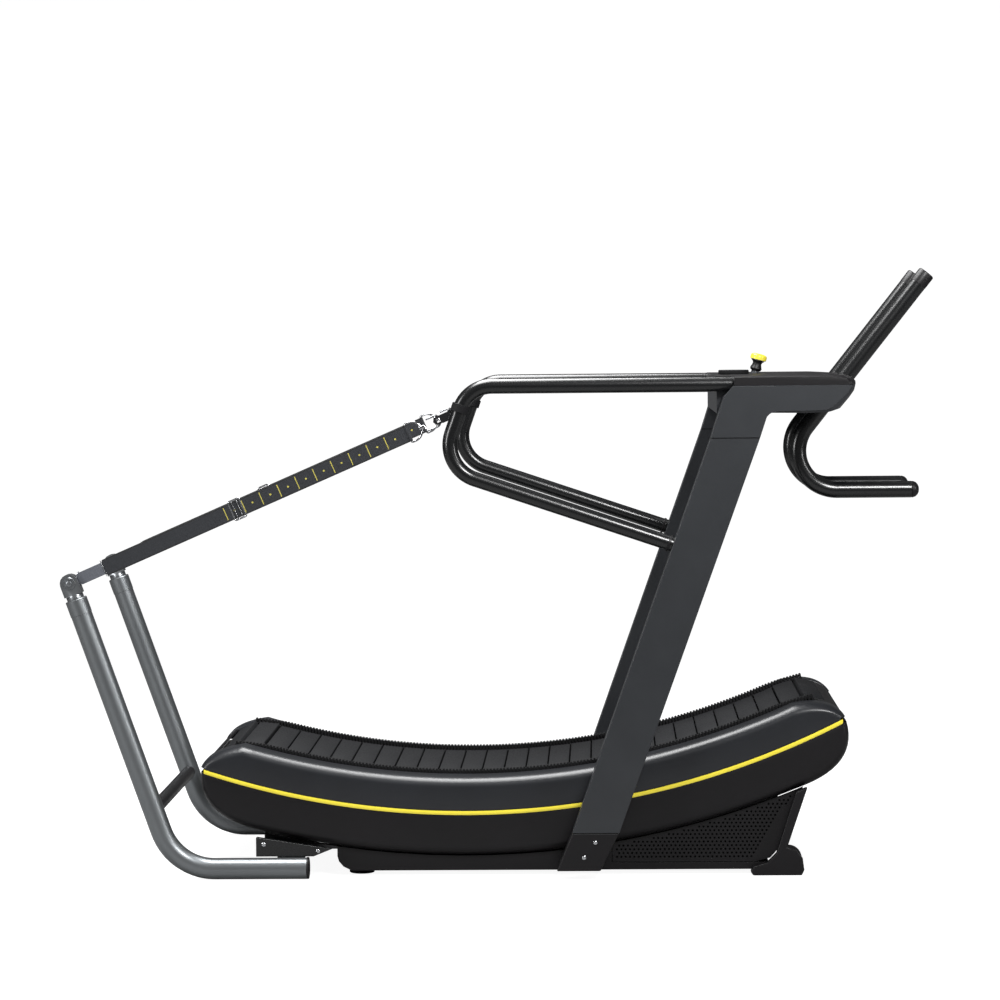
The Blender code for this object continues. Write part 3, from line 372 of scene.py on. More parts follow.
# %% Run a tree and keep its plain mesh
def grown(name, tree, source, values):
    """Run a tree on a source mesh, with named inputs, and return the result as a piece."""
    carrier = bpy.data.objects.new(name + "_source", source)
    bpy.context.scene.collection.objects.link(carrier)
    modifier = carrier.modifiers.new("nodes", "NODES")
    modifier.node_group = tree
    for item in tree.interface.items_tree:
        if item.in_out == "INPUT" and item.name in values:
            modifier[item.identifier] = values[item.name]
    carrier.update_tag()
    depsgraph = bpy.context.evaluated_depsgraph_get()
    mesh = bpy.data.meshes.new_from_object(carrier.evaluated_get(depsgraph))
    mesh.name = name
    piece = bpy.data.objects.new(name, mesh)
    bpy.context.scene.collection.objects.link(piece)
    bpy.data.objects.remove(carrier)
    return piece


def new_tree(name, inputs):
    """A geometry tree with a geometry socket and the named inputs."""
    tree = bpy.data.node_groups.new(name, "GeometryNodeTree")
    tree.interface.new_socket("Geometry", in_out="INPUT", socket_type="NodeSocketGeometry")
    for label, kind in inputs:
        tree.interface.new_socket(label, in_out="INPUT", socket_type="NodeSocket" + kind)
    tree.interface.new_socket("Geometry", in_out="OUTPUT", socket_type="NodeSocketGeometry")
    return tree, add_node(tree, "NodeGroupInput").outputs


def end_tree(tree, geometry, material):
    """Every tree ends in plain geometry with its material."""
    plain = add_node(tree, "GeometryNodeRealizeInstances", {"Geometry": geometry})
    painted = add_node(tree, "GeometryNodeSetMaterial", {"Geometry": plain.outputs["Geometry"],
                                                         "Material": material})
    add_node(tree, "NodeGroupOutput", {"Geometry": painted.outputs["Geometry"]})


def polyline(name, points, cyclic=False):
    mesh = bpy.data.meshes.new(name)
    edges = [(i, i + 1) for i in range(len(points) - 1)]
    if cyclic:
        edges.append((len(points) - 1, 0))
    mesh.from_pydata([tuple(p) for p in points], edges, [])
    return mesh


# %% The bar tree
bar_tree, given = new_tree("round_bar_on_path", [("Radius", "Float"), ("Sides", "Int"),
                                                 ("Material", "Material")])
run = add_node(bar_tree, "GeometryNodeMeshToCurve", {"Mesh": given["Geometry"]})
ring = add_node(bar_tree, "GeometryNodeCurvePrimitiveCircle", {"Resolution": given["Sides"],
                                                               "Radius": given["Radius"]})
bar = add_node(bar_tree, "GeometryNodeCurveToMesh",
               {"Curve": run.outputs["Curve"], "Profile Curve": ring.outputs["Curve"],
                "Fill Caps": True})
end_tree(bar_tree, bar.outputs["Mesh"], given["Material"])


def bar_on_path(name, points, radius, material, sides=32, cyclic=False):
    piece = grown(name, bar_tree, polyline(name + "_path", points, cyclic),
                  {"Radius": radius, "Sides": sides, "Material": material})
    piece.data.shade_smooth()
    piece.data.set_sharp_from_angle(angle=radians(38))
    return piece


# %% The repeat tree
repeat_tree, given = new_tree("copies_along_path", [("Spacing", "Float"), ("Shape", "Object"),
                                                    ("Material", "Material")])
run = add_node(repeat_tree, "GeometryNodeMeshToCurve", {"Mesh": given["Geometry"]})
even = add_node(repeat_tree, "GeometryNodeResampleCurve",
                {"Curve": run.outputs["Curve"], "Length": given["Spacing"]}, mode="LENGTH")
heading = add_node(repeat_tree, "GeometryNodeInputTangent")
turn = add_node(repeat_tree, "FunctionNodeAlignRotationToVector",
                {"Vector": heading.outputs["Tangent"]}, axis="X", pivot_axis="Y")
shape = add_node(repeat_tree, "GeometryNodeObjectInfo", {"Object": given["Shape"]})
copies = add_node(repeat_tree, "GeometryNodeInstanceOnPoints",
                  {"Points": even.outputs["Curve"], "Instance": shape.outputs["Geometry"],
                   "Rotation": turn.outputs["Rotation"]})
end_tree(repeat_tree, copies.outputs["Instances"], given["Material"])


def copies_on_path(name, points, spacing, shape_piece, material, cyclic=False):
    """Copies of a shape along a path; the shape itself is removed afterwards."""
    piece = grown(name, repeat_tree, polyline(name + "_path", points, cyclic),
                  {"Spacing": spacing, "Shape": shape_piece, "Material": material})
    bpy.data.objects.remove(shape_piece)
    return piece


print("trees", [tree.name for tree in bpy.data.node_groups])

# %% [markdown]
# ## The deck's curves
# Every line of the deck is an arc about one centre high above it: the running surface, the
# crest of the covers, the yellow stripe and the underside. The noses at both ends are drawn
# with short quadratic curves. The drums' places are read from the frame.

# %% Deck curves
CENTRE = Vector((-0.095, 0, 2.365))
CREST_R, STRIPE_R, BOTTOM_R = 2.103, 2.196, 2.310
STRIPE_HALF = 0.006
REAR_NOSE, FRONT_NOSE = -0.803, 0.908
REAR_DRUM = Vector(joints["rear_drum_spin"]["pos_m"])
FRONT_DRUM = Vector(joints["front_drum_spin"]["pos_m"])
NOSE_STEPS, ARC_STEPS = 14, 56


def deck_z(radius, x):
    return CENTRE.z - sqrt(radius * radius - (x - CENTRE.x) ** 2)


def arc(radius, x0, x1, steps):
    return [(x0 + (x1 - x0) * k / steps,
             deck_z(radius, x0 + (x1 - x0) * k / steps)) for k in range(steps + 1)]


def curve(start, control, end, steps):
    """A quadratic curve, without its first point."""
    return [tuple((1 - f) ** 2 * a + 2 * f * (1 - f) * b + f * f * c
                  for a, b, c in zip(start, control, end))
            for f in ((k + 1) / steps for k in range(steps))]


def crest_line(drop, pull):
    """Rear nose, over the crest, to the front nose."""
    rear = (REAR_NOSE + pull, deck_z(STRIPE_R - STRIPE_HALF, REAR_NOSE))
    front = (FRONT_NOSE - pull, deck_z(STRIPE_R - STRIPE_HALF, FRONT_NOSE))
    radius = CREST_R + drop
    first, last = (-0.690, deck_z(radius, -0.690)), (0.770, deck_z(radius, 0.770))
    return ([rear] + curve(rear, (-0.785 + pull, 0.335 - drop), first, NOSE_STEPS)
            + arc(radius, -0.690, 0.770, ARC_STEPS)[1:]
            + curve(last, (0.868 - pull, 0.470 - drop), front, NOSE_STEPS))


def bottom_line(drop, pull):
    """Rear nose, under the deck, to the front nose."""
    rear = (REAR_NOSE + pull, deck_z(STRIPE_R + STRIPE_HALF, REAR_NOSE))
    front = (FRONT_NOSE + 0.004 - pull, deck_z(STRIPE_R + STRIPE_HALF, FRONT_NOSE))
    radius = BOTTOM_R - drop
    first, last = (-0.660, deck_z(radius, -0.660)), (0.780, deck_z(radius, 0.780))
    return ([rear] + curve(rear, (-0.814 + pull, 0.165 + drop), first, NOSE_STEPS)
            + arc(radius, -0.660, 0.780, ARC_STEPS)[1:]
            + curve(last, (0.946 - pull, 0.285 + drop), front, NOSE_STEPS))


def seam_line(line, radius):
    """Points on the stripe's edge that match the points of a crest or bottom line."""
    x0, x1 = line[0][0] + 0.001, line[-1][0] - 0.001
    places = [min(max(x, x0), x1) for x, _ in line]
    return [(x, deck_z(radius, x)) for x in places]


print("deck from", crest_line(0, 0)[0], "to", crest_line(0, 0)[-1])

# %% [markdown]
# ## Side covers
# Each side of the deck has two moulded shells: a grey one that rolls over the crest, and a
# black one below. They meet at the stripe. Each is a sheet about 3 mm thick whose section
# changes along the deck, so a skin over many sections is the direct way. The shoulder is a
# quarter ellipse, and it is what draws the long highlight along the crest.

# %% Cover shells
SHOULDER_Y, OUTER_Y = 0.350, 0.385
SHOULDER_DROP = 0.026
WALL = 0.003


def shoulder(steps):
    """(y, drop, pull) from the flat top to the side face, on a quarter ellipse."""
    rows = []
    for k in range(steps + 1):
        t = pi / 2 * k / steps
        drop = SHOULDER_DROP * (1 - cos(t))
        rows.append((SHOULDER_Y + (OUTER_Y - SHOULDER_Y) * sin(t), drop, drop / 2))
    return rows


def shell(name, side, line, radius, lip, material):
    """A cover: `lip` starts at its inner edge, then the shoulder, then the side face."""
    outer = [(y, drop, pull, 0.0) for y, drop, pull in lip + shoulder(10)]
    y, drop, pull, _ = outer[-1]
    outer += [(y + 0.0012 * sin(pi * f), drop, pull, f) for f in (0.15, 0.3, 0.5, 0.7, 0.85, 0.97)]
    outer += [(y - 0.0008, drop, pull, 1.0)]
    inner = [(y - WALL, drop + WALL, pull + WALL, min(f, 0.98)) for y, drop, pull, f in outer]
    sections = []
    for y, drop, pull, f in outer + inner[::-1]:
        crest = line(drop, pull)
        seam = seam_line(crest, radius)
        sections.append([Vector((a[0] + (b[0] - a[0]) * f, side * y, a[1] + (b[1] - a[1]) * f))
                         for a, b in zip(crest, seam)])
    return loft(name, [list(ring) for ring in zip(*sections)], material)


UPPER_LIP = [(0.2885, 0.045, 0.02), (0.2855, 0.006, 0.003), (0.2870, 0.0015, 0.001),
             (0.2900, 0, 0), (0.3200, 0, 0)]
LOWER_LIP = [(0.3475, 0, 0)]
for word, side in SIDES.items():
    put(shell("upper_shell_" + word, side, crest_line, STRIPE_R - STRIPE_HALF, UPPER_LIP, GREY_ABS),
        "frame", "grey_plastic", "upper_cover_" + word)
    put(shell("lower_shell_" + word, side, bottom_line, STRIPE_R + STRIPE_HALF, LOWER_LIP,
              BLACK_ABS), "frame", "black_plastic", "lower_cover_" + word)

# %% [markdown]
# ## Stripe
# A raised yellow moulding that fills the joint between the two shells. Its face is slightly
# crowned, so it keeps its own thin highlight.

# %% Stripe
for word, side in SIDES.items():
    rings = []
    for x, _ in arc(STRIPE_R, REAR_NOSE + 0.010, FRONT_NOSE - 0.008, 90):
        section = [(0.3790, -0.0052), (0.3858, -0.0052), (0.3866, -0.0030), (0.3869, 0),
                   (0.3866, 0.0030), (0.3858, 0.0052), (0.3790, 0.0052)]
        rings.append([Vector((x, side * y, deck_z(STRIPE_R + off, x))) for y, off in section])
    put(loft("stripe_moulding_" + word, rings, YELLOW_VINYL), "frame", "yellow_trim",
        "stripe_" + word)

# %% [markdown]
# ## End covers
# Across the deck's width, two bent sheets close the noses under the drums. They follow the
# black shells' own line, so they are made from the same curve. A lip goes on from each sheet,
# up round the drum's nose between the grey shells, and hides the belt's return.

# %% End covers
for name, points, half_width, stands_for in (
        ("rear_end_sheet", arc(BOTTOM_R, -0.470, -0.660, 8)[:-1]
         + bottom_line(0, 0)[:NOSE_STEPS + 1][::-1], 0.3445, ["rear_end_cover"]),
        ("front_end_sheet", bottom_line(0, 0)[-NOSE_STEPS - 1:], 0.3445, ["front_end_cover"]),
        ("rear_end_lip", crest_line(0.004, 0.003)[:7], 0.2840, []),
        ("front_end_lip", crest_line(0.004, 0.003)[-7:], 0.2840, [])):
    centre = Vector((0.05, 0, 0.27))
    rings = []
    for i, (x, z) in enumerate(points):
        before, after = points[max(i - 1, 0)], points[min(i + 1, len(points) - 1)]
        normal = Vector((before[1] - after[1], 0, after[0] - before[0])).normalized()
        if normal.dot(centre - Vector((x, 0, z))) < 0:
            normal.negate()
        place = Vector((x, 0, z))
        inside = place + normal * 0.004
        half = Vector((0, half_width, 0))
        rings.append([place - half, place + half, inside + half, inside - half])
    put(loft(name, rings, BLACK_ABS), "frame", "black_plastic", *stands_for)

# %% [markdown]
# ## Slats
# The running surface is a chain of rubber-faced slats on two toothed belts. Both repeat at an
# even pitch round a closed loop, so each is one small shape copied along that loop. The
# loop's own length gives the slat pitch.

# %% The belt's loop
BELT_THICK, SLATS = 0.022, 59
BELT_TOP_R = 2.104
DRUM_TO_MIDDLE = 0.085 - BELT_THICK / 2
rear_turn, front_turn = -asin(0.275), asin(0.4165)
DRUM_R = (FRONT_DRUM - CENTRE).length


def on_arc(radius, turn, centre=CENTRE):
    return centre + radius * Vector((sin(turn), 0, -cos(turn)))


def loop_at(height):
    """The closed loop that lies `height` outside the belt's middle line."""
    reach = DRUM_TO_MIDDLE + height
    points = [on_arc(DRUM_R - reach, rear_turn + (front_turn - rear_turn) * k / 80)
              for k in range(80)]
    points += [on_arc(reach, front_turn + pi - pi * k / 30, FRONT_DRUM) for k in range(30)]
    points += [on_arc(DRUM_R + reach, front_turn - (front_turn - rear_turn) * k / 80)
               for k in range(80)]
    points += [on_arc(reach, rear_turn - pi * k / 30, REAR_DRUM) for k in range(30)]
    return points


loop = loop_at(0)
loop_length = sum((b - a).length for a, b in zip(loop, loop[1:] + loop[:1]))
slat_pitch = loop_length / SLATS
print("loop", round(loop_length, 4), "m, slat pitch", round(slat_pitch * 1000, 1), "mm")


# %% Slats round the loop
def rounded_box(name, size, edge, material, steps=2):
    """A box about the origin with bevelled edges."""
    mesh_data = bmesh.new()
    bmesh.ops.create_cube(mesh_data, size=1)
    bmesh.ops.scale(mesh_data, vec=size, verts=mesh_data.verts)
    bmesh.ops.bevel(mesh_data, geom=mesh_data.edges[:], offset=edge, segments=steps,
                    affect="EDGES", profile=0.5)
    return make_piece(name, mesh_data, material)


slat = rounded_box("slat", Vector((slat_pitch - 0.0045, 0.516, 0.0195)), 0.0024, SLAT_RUBBER)
slats = copies_on_path("slats", loop, slat_pitch, slat, SLAT_RUBBER, cyclic=True)
put(slats, "frame", "black_rubber", "slat_belt")

TOOTH_PITCH = 0.009
EDGE_RISE, EDGE_FROM, EDGE_TO, EDGE_FADE = 0.013, -0.715, 0.825, 0.110


def edge_rise(x):
    """The edge strip stands up over the running surface and fades out at both ends."""
    return EDGE_RISE * sin(pi / 2 * max(0, min(1, (x - EDGE_FROM) / EDGE_FADE,
                                               (EDGE_TO - x) / EDGE_FADE)))


for word, side in SIDES.items():
    rib = rounded_box("rib", Vector((0.0060, 0.0130, 0.0190)), 0.0012, BLACK_RUBBER, 1)
    rib.data.transform(Matrix.Translation((0, side * 0.2770, 0.0)))
    top_run = [Vector((x, 0, deck_z(BELT_TOP_R - edge_rise(x) + 0.0095, x)))
               for x, _ in arc(BELT_TOP_R, EDGE_FROM, EDGE_TO, 90)]
    put(copies_on_path("edge_ribs_" + word, top_run, TOOTH_PITCH, rib, BLACK_RUBBER), "frame",
        "black_rubber")
    rings = []
    for x, _ in arc(BELT_TOP_R, EDGE_FROM, EDGE_TO, 60):
        rise = edge_rise(x)
        section = ((0.2755, 0.008), (0.2755, 0.0045 - rise), (0.2785, 0.0030 - rise),
                   (0.2815, 0.0045 - rise), (0.2815, 0.008))
        rings.append([Vector((x, side * y, deck_z(BELT_TOP_R + off, x))) for y, off in section])
    put(loft("edge_web_" + word, rings, BLACK_RUBBER), "frame", "black_rubber")
    tooth = rounded_box("tooth", Vector((0.0055, 0.0150, 0.0110)), 0.0010, BLACK_RUBBER, 1)
    tooth.data.transform(Matrix.Translation((0, side * 0.2675, 0.0035)))
    put(copies_on_path("edge_teeth_" + word, loop, TOOTH_PITCH, tooth, BLACK_RUBBER, cyclic=True),
        "frame", "black_rubber")
    rings = []
    for low, high in zip(loop_at(-0.009), loop_at(-0.001)):
        rings.append([Vector((p.x, side * y, p.z)) for p, y in ((low, 0.250), (low, 0.2765),
                                                                (high, 0.2765), (high, 0.250))])
    mesh_data = bmesh.new()
    skin(mesh_data, rings + rings[:1], capped=False)
    put(make_piece("carrier_belt_" + word, mesh_data, BLACK_RUBBER), "frame", "black_rubber")

# %% [markdown]
# ## Round bars
# The handrails, handlebars and rear posts are bent tube. Each one is a path with rounded
# corners, swept by the bar tree. The corners' radii are those of a tube bender's dies.


# %% Paths with rounded corners
def bent(corners, radii, step=radians(4)):
    """A path through the corners, with each inner corner turned into an arc."""
    points = [Vector(corners[0])]
    for before, corner, after, radius in zip(corners, corners[1:], corners[2:], radii):
        a = (Vector(before) - Vector(corner)).normalized()
        b = (Vector(after) - Vector(corner)).normalized()
        half = a.angle(b) / 2
        centre = Vector(corner) + (a + b).normalized() * (radius / sin(half))
        first = Vector(corner) + a * (radius / tan(half)) - centre
        last = Vector(corner) + b * (radius / tan(half)) - centre
        turn = first.angle(last)
        count = max(3, round(turn / step))
        points += [centre + first * (sin((1 - k / count) * turn) / sin(turn))
                   + last * (sin(k / count * turn) / sin(turn)) for k in range(count + 1)]
    return points + [Vector(corners[-1])]


# %% Handrails with a collar where they meet the uprights
RAIL_Y, RAIL_R, COLLAR_FROM_END = 0.420, 0.020, 0.021
for word, side in SIDES.items():
    y = side * RAIL_Y
    corners = [(0.639, y, 1.300), (-0.081, y, 1.300), (-0.156, y, 1.087), (0.4675, y, 0.8765)]
    rail = bar_on_path("handrail_tube_" + word, bent(corners, (0.087, 0.095)), RAIL_R, BLACK_COAT)
    put(rail, "frame", "black_paint", "handrail_" + word)
    along = (Vector(corners[2]) - Vector(corners[3])).normalized()
    turned("rail_collar_" + word, Vector(corners[3]) + along * COLLAR_FROM_END, along,
           [(0, 0.0203), (0.0005, 0.0222), (0.0055, 0.0222), (0.0065, 0.0203)], BLACK_ABS,
           "frame", "black_plastic")

# %% Handlebars with end caps
BEND_CENTRE, BEND_R, BAR_LEAN = Vector((0.902, 0, 1.115)), 0.105, radians(51.7)
BAR_Y, BAR_R, LOWER_GRIP_END = 0.170, 0.0225, 1.100
bar_rise = Vector((cos(BAR_LEAN), 0, sin(BAR_LEAN)))
bar_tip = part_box("handlebar_right")[1]
for word, side in SIDES.items():
    centre = BEND_CENTRE + Vector((0, side * BAR_Y, 0))
    top = centre + BEND_R * Vector((-sin(BAR_LEAN), 0, cos(BAR_LEAN)))
    reach = (bar_tip.x - top.x - BAR_R * sin(BAR_LEAN)) / bar_rise.x
    path = [top + bar_rise * d for d in (reach - 0.004, reach / 2, 0.02)]
    path += [centre + BEND_R * Vector((cos(t), 0, sin(t)))
             for t in (BAR_LEAN + pi / 2 + (pi - BAR_LEAN) * k / 34 for k in range(35))]
    path.append(Vector((LOWER_GRIP_END, centre.y, centre.z - BEND_R)))
    put(bar_on_path("handlebar_tube_" + word, path, BAR_R, BLACK_COAT, 36), "frame",
        "black_paint", "handlebar_" + word)
    domed = [(0, 0.0223), (0.0012, 0.0214), (0.0024, 0.0224), (0.0050, 0.0222), (0.0120, 0.0195),
             (0.0175, 0.0140), (0.0205, 0.0075), (0.0213, 0.0010)]
    turned("lower_grip_cap_" + word, path[-1], (1, 0, 0), domed, BLACK_ABS, "frame",
           "black_plastic")
    flat_cap = [(-0.0340, 0.0227), (-0.0335, 0.0231), (-0.0010, 0.0231), (0.0020, 0.0222),
                (0.0038, 0.0195), (0.0042, 0.0010)]
    turned("upper_grip_cap_" + word, path[0], bar_rise, flat_cap, BLACK_ABS, "frame",
           "black_plastic")

# %% Rear posts, their sleeves and caps, and the cross brace
POST_LEAN = radians(19.45)
post_axis = Vector((-sin(POST_LEAN), 0, cos(POST_LEAN)))
POST_R, POST_BEND_R, POST_FOOT_X, SLEEVE_LENGTH = 0.0285, 0.150, -0.514, 0.0430
for word, side in SIDES.items():
    top = Vector(joints[f"head_{word}_turn"]["pos_m"])
    corner = top - post_axis * ((top.z - POST_R) / cos(POST_LEAN))
    path = bent([top, corner, (POST_FOOT_X, top.y, POST_R)], (POST_BEND_R,))
    put(bar_on_path("rear_post_tube_" + word, path, POST_R - 0.0003, GUNMETAL, 40), "frame",
        "gunmetal", "rear_post_" + word)
    sleeve = [(0, 0.0284), (0.0006, 0.0292), (0.0410, 0.0292), (0.0425, 0.0280), (0.0430, 0.0235)]
    turned("post_sleeve_" + word, top - post_axis * SLEEVE_LENGTH, post_axis, sleeve, GUNMETAL,
           "frame", "gunmetal")
    cap = [(0, 0.0284), (0.0008, 0.0289), (0.0050, 0.0289), (0.0060, 0.0280), (0.0070, 0.0220),
           (0.0072, 0.0010)]
    turned("post_end_cap_" + word, (POST_FOOT_X - 0.005, top.y, POST_R + 0.0008), (1, 0, 0), cap,
           BLACK_ABS, "frame", "black_plastic")
low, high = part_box("cross_brace")
middle = (low + high) / 2
put(bar_on_path("brace_tube", [(middle.x, low.y, middle.z), (middle.x, 0, middle.z),
                               (middle.x, high.y, middle.z)], (high.z - low.z) / 2, BLACK_ABS),
    "frame", "black_paint", "cross_brace")

# %% [markdown]
# ## Uprights, console and feet
# These are the right shape in the frame, so their copies only gain rounded edges. A seam line
# crosses each upright under the console, where its cap is fitted: it is drawn in the paint as
# a dark line, placed by the height above the floor.

# %% Upright finish with its seam
UPRIGHT_GREY = grained("upright_satin_grey", "#2a2c2f", "#343639", 1.6, (0.33, 0.43), 0.04,
                       metallic=0.3, coat=0.15)
CAP_SEAM_Z, SEAM_WIDTH = 1.160, 0.0016
tree = UPRIGHT_GREY.node_tree
shader = tree.nodes["Principled BSDF"]
place = add_node(tree, "ShaderNodeTexCoord").outputs["Object"]
height = add_node(tree, "ShaderNodeSeparateXYZ", {"Vector": place}).outputs["Z"]
seam = add_node(tree, "ShaderNodeMath", {0: height, 1: CAP_SEAM_Z, 2: SEAM_WIDTH},
                operation="COMPARE").outputs["Value"]
painted = shader.inputs["Base Color"].links[0].from_socket
tree.links.new(mixed(tree, seam, painted, "#0c0d0f"), shader.inputs["Base Color"])

# %% Softened frame parts
for word in SIDES:
    softened("upright_" + word, UPRIGHT_GREY, 0.0045, "frame", "grey_paint")
    softened("upright_foot_" + word, BLACK_ABS, 0.0035, "frame", "black_plastic")
    softened("front_foot_" + word, BLACK_ABS, 0.0025, "frame", "black_plastic")
    softened("swivel_head_" + word, BRIGHT_GUNMETAL, 0.0022, "head_" + word, "gunmetal")
    softened("rail_keeper_" + word, BLACK_RUBBER, 0.0006, "frame", "webbing", 2)
softened("console_body", SATIN_GREY, 0.0030, "frame", "grey_paint")
softened("console_tray", BLACK_ABS, 0.0030, "frame", "black_plastic")
softened("belly_cover", BLACK_ABS, 0.0030, "frame", "black_plastic")
softened("rear_bracket", BLACK_COAT, 0.0015, "frame", "black_paint")
softened("upright_bar", SATIN_GREY, 0.0020, "frame", "grey_paint")

# %% [markdown]
# ## Console cheeks
# On the real machine one thin pressing covers the upright's top and the console's side, with a
# round inner corner where they meet. It is drawn as one outline, with its corners rounded the
# way the bars' paths are, and given a small thickness.

# %% Cheek plates
CHEEK_CORNERS = ((0.6120, 1.2945), (0.5895, 1.2675), (0.5553, 1.1610), (0.6815, 1.1610),
                 (0.7040, 1.2285), (0.8640, 1.2320), (0.9120, 1.2760), (0.9235, 1.2945))
CHEEK_RADII = (0.020, 0.002, 0.002, 0.034, 0.050, 0.030)
for word, side in SIDES.items():
    edge = bent([(x, 0, z) for x, z in CHEEK_CORNERS], CHEEK_RADII)
    shapes = [(0.4600, 1.0), (0.4632, 1.0), (0.4638, 0.9965)]
    middle = Vector((0.74, 0, 1.255))
    rings = [[Vector((middle.x + (p.x - middle.x) * k, side * y, middle.z + (p.z - middle.z) * k))
              for p in edge] for y, k in shapes]
    put(loft("console_cheek_" + word, rings, UPRIGHT_GREY), "frame", "grey_paint")

# %% [markdown]
# ## Grilles
# A flat panel closes each side under the deck's front half, pierced by rows of round holes that
# let the brake breathe. Geometry Nodes lay the hole cutters on a staggered grid, keep those
# that fall well inside the panel, and cut them out of it in one go.

# %% Grille panel tree
HOLE_PITCH, HOLE_R = 0.0115, 0.0030
grille_tree, given = new_tree("pierced_panel", [("Cutter", "Object"), ("Material", "Material")])
panel = add_node(grille_tree, "GeometryNodeObjectInfo", {"Object": given["Cutter"]})
spots = add_node(grille_tree, "GeometryNodeMeshToPoints", {"Mesh": given["Geometry"]})
drill = add_node(grille_tree, "GeometryNodeMeshCylinder",
                 {"Vertices": 8, "Radius": HOLE_R, "Depth": 0.020})
upright_drill = add_node(grille_tree, "GeometryNodeTransform",
                         {"Geometry": drill.outputs["Mesh"], "Rotation": (pi / 2, 0, 0)})
drills = add_node(grille_tree, "GeometryNodeInstanceOnPoints",
                  {"Points": spots.outputs["Points"],
                   "Instance": upright_drill.outputs["Geometry"]})
plain_drills = add_node(grille_tree, "GeometryNodeRealizeInstances",
                        {"Geometry": drills.outputs["Instances"]})
pierced = add_node(grille_tree, "GeometryNodeMeshBoolean",
                   {"Mesh 1": panel.outputs["Geometry"]}, operation="DIFFERENCE")
grille_tree.links.new(plain_drills.outputs["Geometry"], pierced.inputs["Mesh 2"])
end_tree(grille_tree, pierced.outputs["Mesh"], given["Material"])

# %% Grille panels
GRILLE_REAR, GRILLE_TOE, GRILLE_FRONT, GRILLE_FOOT_Z = 0.290, 0.668, 0.796, 0.0335
HOLES_FROM, HOLES_LOW, HOLE_ROWS, HOLE_COLUMNS = 0.302, 0.047, 17, 44
ROW_STEP, FRONT_SLOPE, TOP_MARGIN, FRONT_MARGIN = 0.866, 0.62, 0.010, 0.012
for word, side in SIDES.items():
    low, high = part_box("grille_" + word)
    y0, y1 = low.y, high.y
    top = arc(BOTTOM_R + 0.0015, GRILLE_FRONT, GRILLE_REAR, 30)
    outline = top + [(GRILLE_REAR, GRILLE_FOOT_Z), (GRILLE_TOE, GRILLE_FOOT_Z), (0.708, 0.043),
                     (0.734, 0.072), (0.757, 0.120)]
    panel = loft("grille_panel_" + word,
                 [[Vector((x, y, z)) for x, z in outline] for y in (y0, y1)], BLACK_ABS)
    middle_y = (y0 + y1) / 2
    spots = []
    for row in range(HOLE_ROWS):
        z = HOLES_LOW + row * HOLE_PITCH * ROW_STEP
        for column in range(HOLE_COLUMNS):
            x = HOLES_FROM + (column + 0.5 * (row % 2)) * HOLE_PITCH
            clear_top = deck_z(BOTTOM_R, x) - TOP_MARGIN
            clear_front = GRILLE_TOE + (z - GRILLE_FOOT_Z) * FRONT_SLOPE - FRONT_MARGIN
            if z < clear_top and x < clear_front:
                spots.append((x, middle_y, z))
    mesh = bpy.data.meshes.new("grille_spots")
    mesh.from_pydata(spots, [], [])
    piece = grown("grille_" + word + "_pierced", grille_tree, mesh,
                  {"Cutter": panel, "Material": BLACK_ABS})
    bpy.data.objects.remove(panel)
    put(piece, "frame", "black_plastic", "grille_" + word)
    print("holes", len(spots))
    # A black sheet 2 to 3 mm behind each panel is painted shade: through the holes it shows as the
    # dark, shaded inside of the machine.
    inner = y0 if side > 0 else y1
    shade_sheet = loft("grille_backing_" + word,
                  [[Vector((x, inner - side * gap, z)) for x, z in outline]
                   for gap in (0.0020, 0.0030)], BLACK_RUBBER)
    put(shade_sheet, "frame", "black_plastic")

# %% [markdown]
# ## Straps and their fittings
# Each strap is flat woven webbing, folded back and sewn round the post's pin, with a plated
# slider, a D-ring and a snap hook. Webbing is not a box: its edges are woven thicker, and the
# loops are folded. The fittings are bent wire, so the bar tree makes them.

# %% Along the strap
STRAP_LINE = Vector((cos(STRAP_ANGLE), 0, sin(STRAP_ANGLE)))
STRAP_UP = Vector((-sin(STRAP_ANGLE), 0, cos(STRAP_ANGLE)))
RING_BAR, RING_LEG, RING_HALF = 0.9785, 0.012, 0.0258
HOOK_NOSE, HOOK_HALF = 1.073, 0.0150
SLIDER_HALF = 0.0262


def strap_point(side, along, up, out=0.0):
    """A place on a strap: along it from its pin, up across its width, out to its left."""
    start = Vector((strap_pin.x, side * abs(strap_pin.y), strap_pin.z))
    return start + STRAP_LINE * along + STRAP_UP * up + Vector((0, out, 0))


def cross_bar(name, side, along, half, out, radius, material, sides):
    """A straight bar across a strap."""
    points = [strap_point(side, along, up, out) for up in (-half, 0, half)]
    return bar_on_path(name, points, radius, material, sides)


def strap_slab(name, side, stations, material):
    """A webbing strip; each station gives (along, half width, half thickness)."""
    rings = []
    for along, half, thick in stations:
        bead = [(-half, 0.0), (-half * 0.985, -thick), (-half * 0.9, -thick), (0.0, -thick),
                (half * 0.9, -thick), (half * 0.985, -thick), (half, 0.0), (half * 0.985, thick),
                (half * 0.9, thick), (0.0, thick), (-half * 0.9, thick),
                (-half * 0.985, thick)]
        rings.append([strap_point(side, along, up, out) for up, out in bead])
    return loft(name, rings, material)


# %% Pin heads on the swivel heads
for word, side in SIDES.items():
    for face in (-1, 1):
        turned(f"pin_head_{word}_{'right' if face < 0 else 'left'}",
               strap_point(side, 0, 0, face * 0.0205), (0, face, 0),
               [(0, 0.0165), (0.0012, 0.0168), (0.0026, 0.0156), (0.0028, 0.0110),
                (0.0018, 0.0100), (0.0020, 0.0078), (0.0042, 0.0070), (0.0050, 0.0050),
                (0.0052, 0.0008)], BRIGHT_GUNMETAL, "head_" + word, "gunmetal", sides=36)

